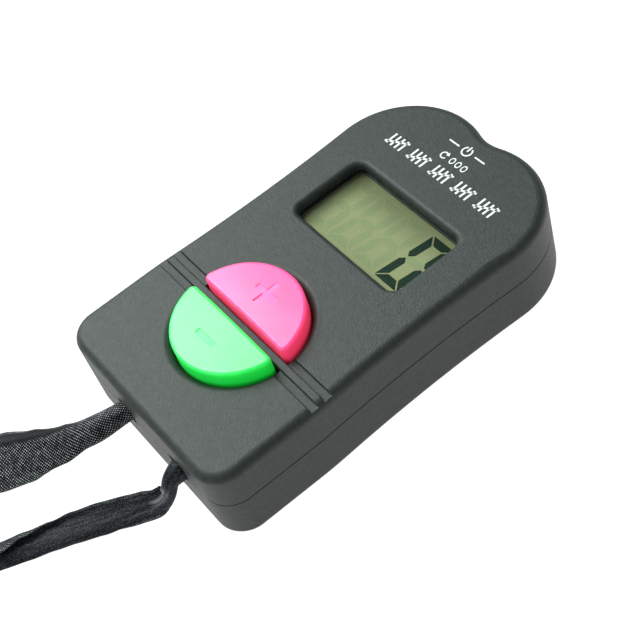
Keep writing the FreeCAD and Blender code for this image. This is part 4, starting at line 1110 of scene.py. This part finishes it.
def finish_piece(name, bm, shader, body="case"):
    """A shape as a piece with its material, riding on a body."""
    bmesh.ops.recalc_face_normals(bm, faces=bm.faces)
    piece = build(name, bm)
    piece.data.materials.append(shader.material)
    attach(piece, body)
    return piece


def make_digits():
    """Four digits of seven segments: the last shows a dark 0, and the others are faint."""
    lit, idle = bmesh.new(), bmesh.new()
    low = GLASS_TOP + GLASS_GAP * MM
    for digit in range(DIGITS):
        middle = DIGIT_FIRST + digit * DIGIT_PITCH
        for key, shape in segment_shapes().items():
            dark = digit == DIGITS - 1 and key != "g"
            outline = [((middle + x + y * SLANT) * MM, DIGIT_MIDDLE + y * MM) for x, y in shape]
            thick = SEGMENT_THICK if dark else IDLE_THICK
            plate(lit if dark else idle, outline, low, low + thick * MM)
    dark = segment_shader("segment_dark", (0.020, 0.036, 0.027), (0.029, 0.048, 0.037))
    faint = segment_shader("segment_idle", (0.258, 0.290, 0.160), (0.284, 0.312, 0.178))
    finish_piece("display_digit", lit, dark)
    finish_piece("display_idle_segments", idle, faint)


# ---------------------------------------------------------------- printed marks, millimetres

FACE_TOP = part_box("front_case")[1].z
INK = 0.02
STROKE = 0.34
POWER_STROKE = 0.26
RESET_STROKE = 0.22
# Five groups of four upright strokes and a slanted one.
TALLY_GROUPS = 5
TALLY_LEFT = -12.3
TALLY_PITCH = 5.15
TALLY_LOW, TALLY_HIGH = 22.3, 24.6
STROKE_FIRST = 0.55
STROKE_PITCH = 0.95
SLASH_WIDTH = 3.95
SLASH_LOW, SLASH_HIGH = 22.5, 24.4
# A broken ring with an upright stroke, between two dashes.
POWER_X, POWER_Y = -0.45, 29.1
POWER_RADIUS = 0.85
POWER_TOP = 30.2
DASH_NEAR, DASH_FAR = 1.8, 4.0
# A turning arrow and three zeros.
RESET_Y = 26.4
ARROW_X = -2.6
ARROW_RADIUS = 0.6
ARROW_TIP = (-2.15, 26.9)
ARROW_AIM = 100
ARROW_SIZE = 0.42
ZERO_X = -0.7
ZERO_PITCH = 1.3
ZERO_RADIUS = 0.56
ZERO_SQUEEZE = 0.72


def ink_plate(bm, outline):
    """A printed patch on the face; its outline is in millimetres."""
    plate(bm, [(x * MM, y * MM) for x, y in outline], FACE_TOP, FACE_TOP + INK * MM)


def bar(bm, start, end, width=STROKE):
    """A straight printed stroke."""
    a, b = Vector(start), Vector(end)
    along = (b - a).normalized() * (width / 2)
    side = Vector((-along.y, along.x))
    ink_plate(bm, (a + side, a - side, b - side, b + side))


def arc_band(bm, middle, radius, first, last, width, squeeze=1.0):
    """A printed arc between two angles in degrees, as a row of plates."""
    steps = max(6, int(abs(last - first) / 15))
    inner, outer = [], []
    for i in range(steps + 1):
        a = math.radians(first + (last - first) * i / steps)
        for edge, r in ((inner, radius - width / 2), (outer, radius + width / 2)):
            edge.append((middle[0] + r * squeeze * math.cos(a), middle[1] + r * math.sin(a)))
    for i in range(steps):
        ink_plate(bm, (inner[i], inner[i + 1], outer[i + 1], outer[i]))


def arrow_head(bm, tip, towards, size):
    """A printed triangle that points the way it is told, in degrees."""
    turns = [math.radians(towards + turn) for turn in (0, 130, 230)]
    ink_plate(bm, [(tip[0] + size * math.cos(a), tip[1] + size * math.sin(a)) for a in turns])


def make_prints():
    """White marks on the face, in place of the words on the real one."""
    ink = speckled("ink_white", (0.80, 0.84, 0.82), (0.90, 0.93, 0.92), 0.3, (0.45, 0.6), 0.004)
    tally = bmesh.new()
    for group in range(TALLY_GROUPS):
        left = TALLY_LEFT + group * TALLY_PITCH
        for stroke in range(4):
            x = left + STROKE_FIRST + stroke * STROKE_PITCH
            bar(tally, (x, TALLY_LOW), (x, TALLY_HIGH))
        bar(tally, (left, SLASH_LOW), (left + SLASH_WIDTH, SLASH_HIGH))
    finish_piece("print_tally_strokes", tally, ink)

    power = bmesh.new()
    arc_band(power, (POWER_X, POWER_Y), POWER_RADIUS, 120, 420, POWER_STROKE)
    bar(power, (POWER_X, POWER_Y), (POWER_X, POWER_TOP), POWER_STROKE)
    for side in (-1, 1):
        near, far = POWER_X + side * DASH_NEAR, POWER_X + side * DASH_FAR
        bar(power, (near, POWER_Y), (far, POWER_Y), POWER_STROKE)
    finish_piece("print_power_mark", power, ink)

    reset = bmesh.new()
    arc_band(reset, (ARROW_X, RESET_Y), ARROW_RADIUS, 60, 330, RESET_STROKE)
    arrow_head(reset, ARROW_TIP, ARROW_AIM, ARROW_SIZE)
    for k in range(3):
        middle = (ZERO_X + k * ZERO_PITCH, RESET_Y)
        arc_band(reset, middle, ZERO_RADIUS, 0, 360, RESET_STROKE, ZERO_SQUEEZE)
    finish_piece("print_reset_mark", reset, ink)


# ---------------------------------------------------------------- button signs, millimetres

SIGN_REACH = 5.5
SIGN_SIZE = 4.5
SIGN_LINE = 0.9
SIGN_FLOOR = 16.87
SIGN_THICK = 0.01
SIGN_EDGE = 0.02  # left free all round, so that the walls of the recess stay clean
WELL_MIDDLE = -14.72


def make_signs():
    """The floors of the moulded plus and minus, where the colour sits a little deeper."""
    looks = {
        "plus": ((0.95, 0.10, 0.42), (1.0, 0.12, 0.48)),
        "minus": ((0.085, 0.80, 0.25), (0.10, 0.86, 0.28)),
    }
    half, thin = SIGN_SIZE / 2 - SIGN_EDGE, SIGN_LINE / 2 - SIGN_EDGE
    for body, (low, high) in looks.items():
        y = WELL_MIDDLE + (SIGN_REACH if body == "plus" else -SIGN_REACH)
        shapes = [[(-half, -thin), (half, -thin), (half, thin), (-half, thin)]]
        if body == "plus":
            shapes.append([(-thin, thin), (thin, thin), (thin, half), (-thin, half)])
            shapes.append([(-thin, -half), (thin, -half), (thin, -thin), (-thin, -thin)])
        bm = bmesh.new()
        for shape in shapes:
            outline = [(px * MM, (y + py) * MM) for px, py in shape]
            plate(bm, outline, SIGN_FLOOR * MM, (SIGN_FLOOR + SIGN_THICK) * MM)
        shader = speckled(f"sign_{body}", low, high, 0.8, (0.35, 0.45), 0.003)
        finish_piece(f"sign_{body}_floor", bm, shader, body)


# ---------------------------------------------------------------- the scene

make_camera()
make_lanyard()
make_floor()
make_light()
paint_nodes()
make_domes()
make_digits()
make_prints()
make_signs()
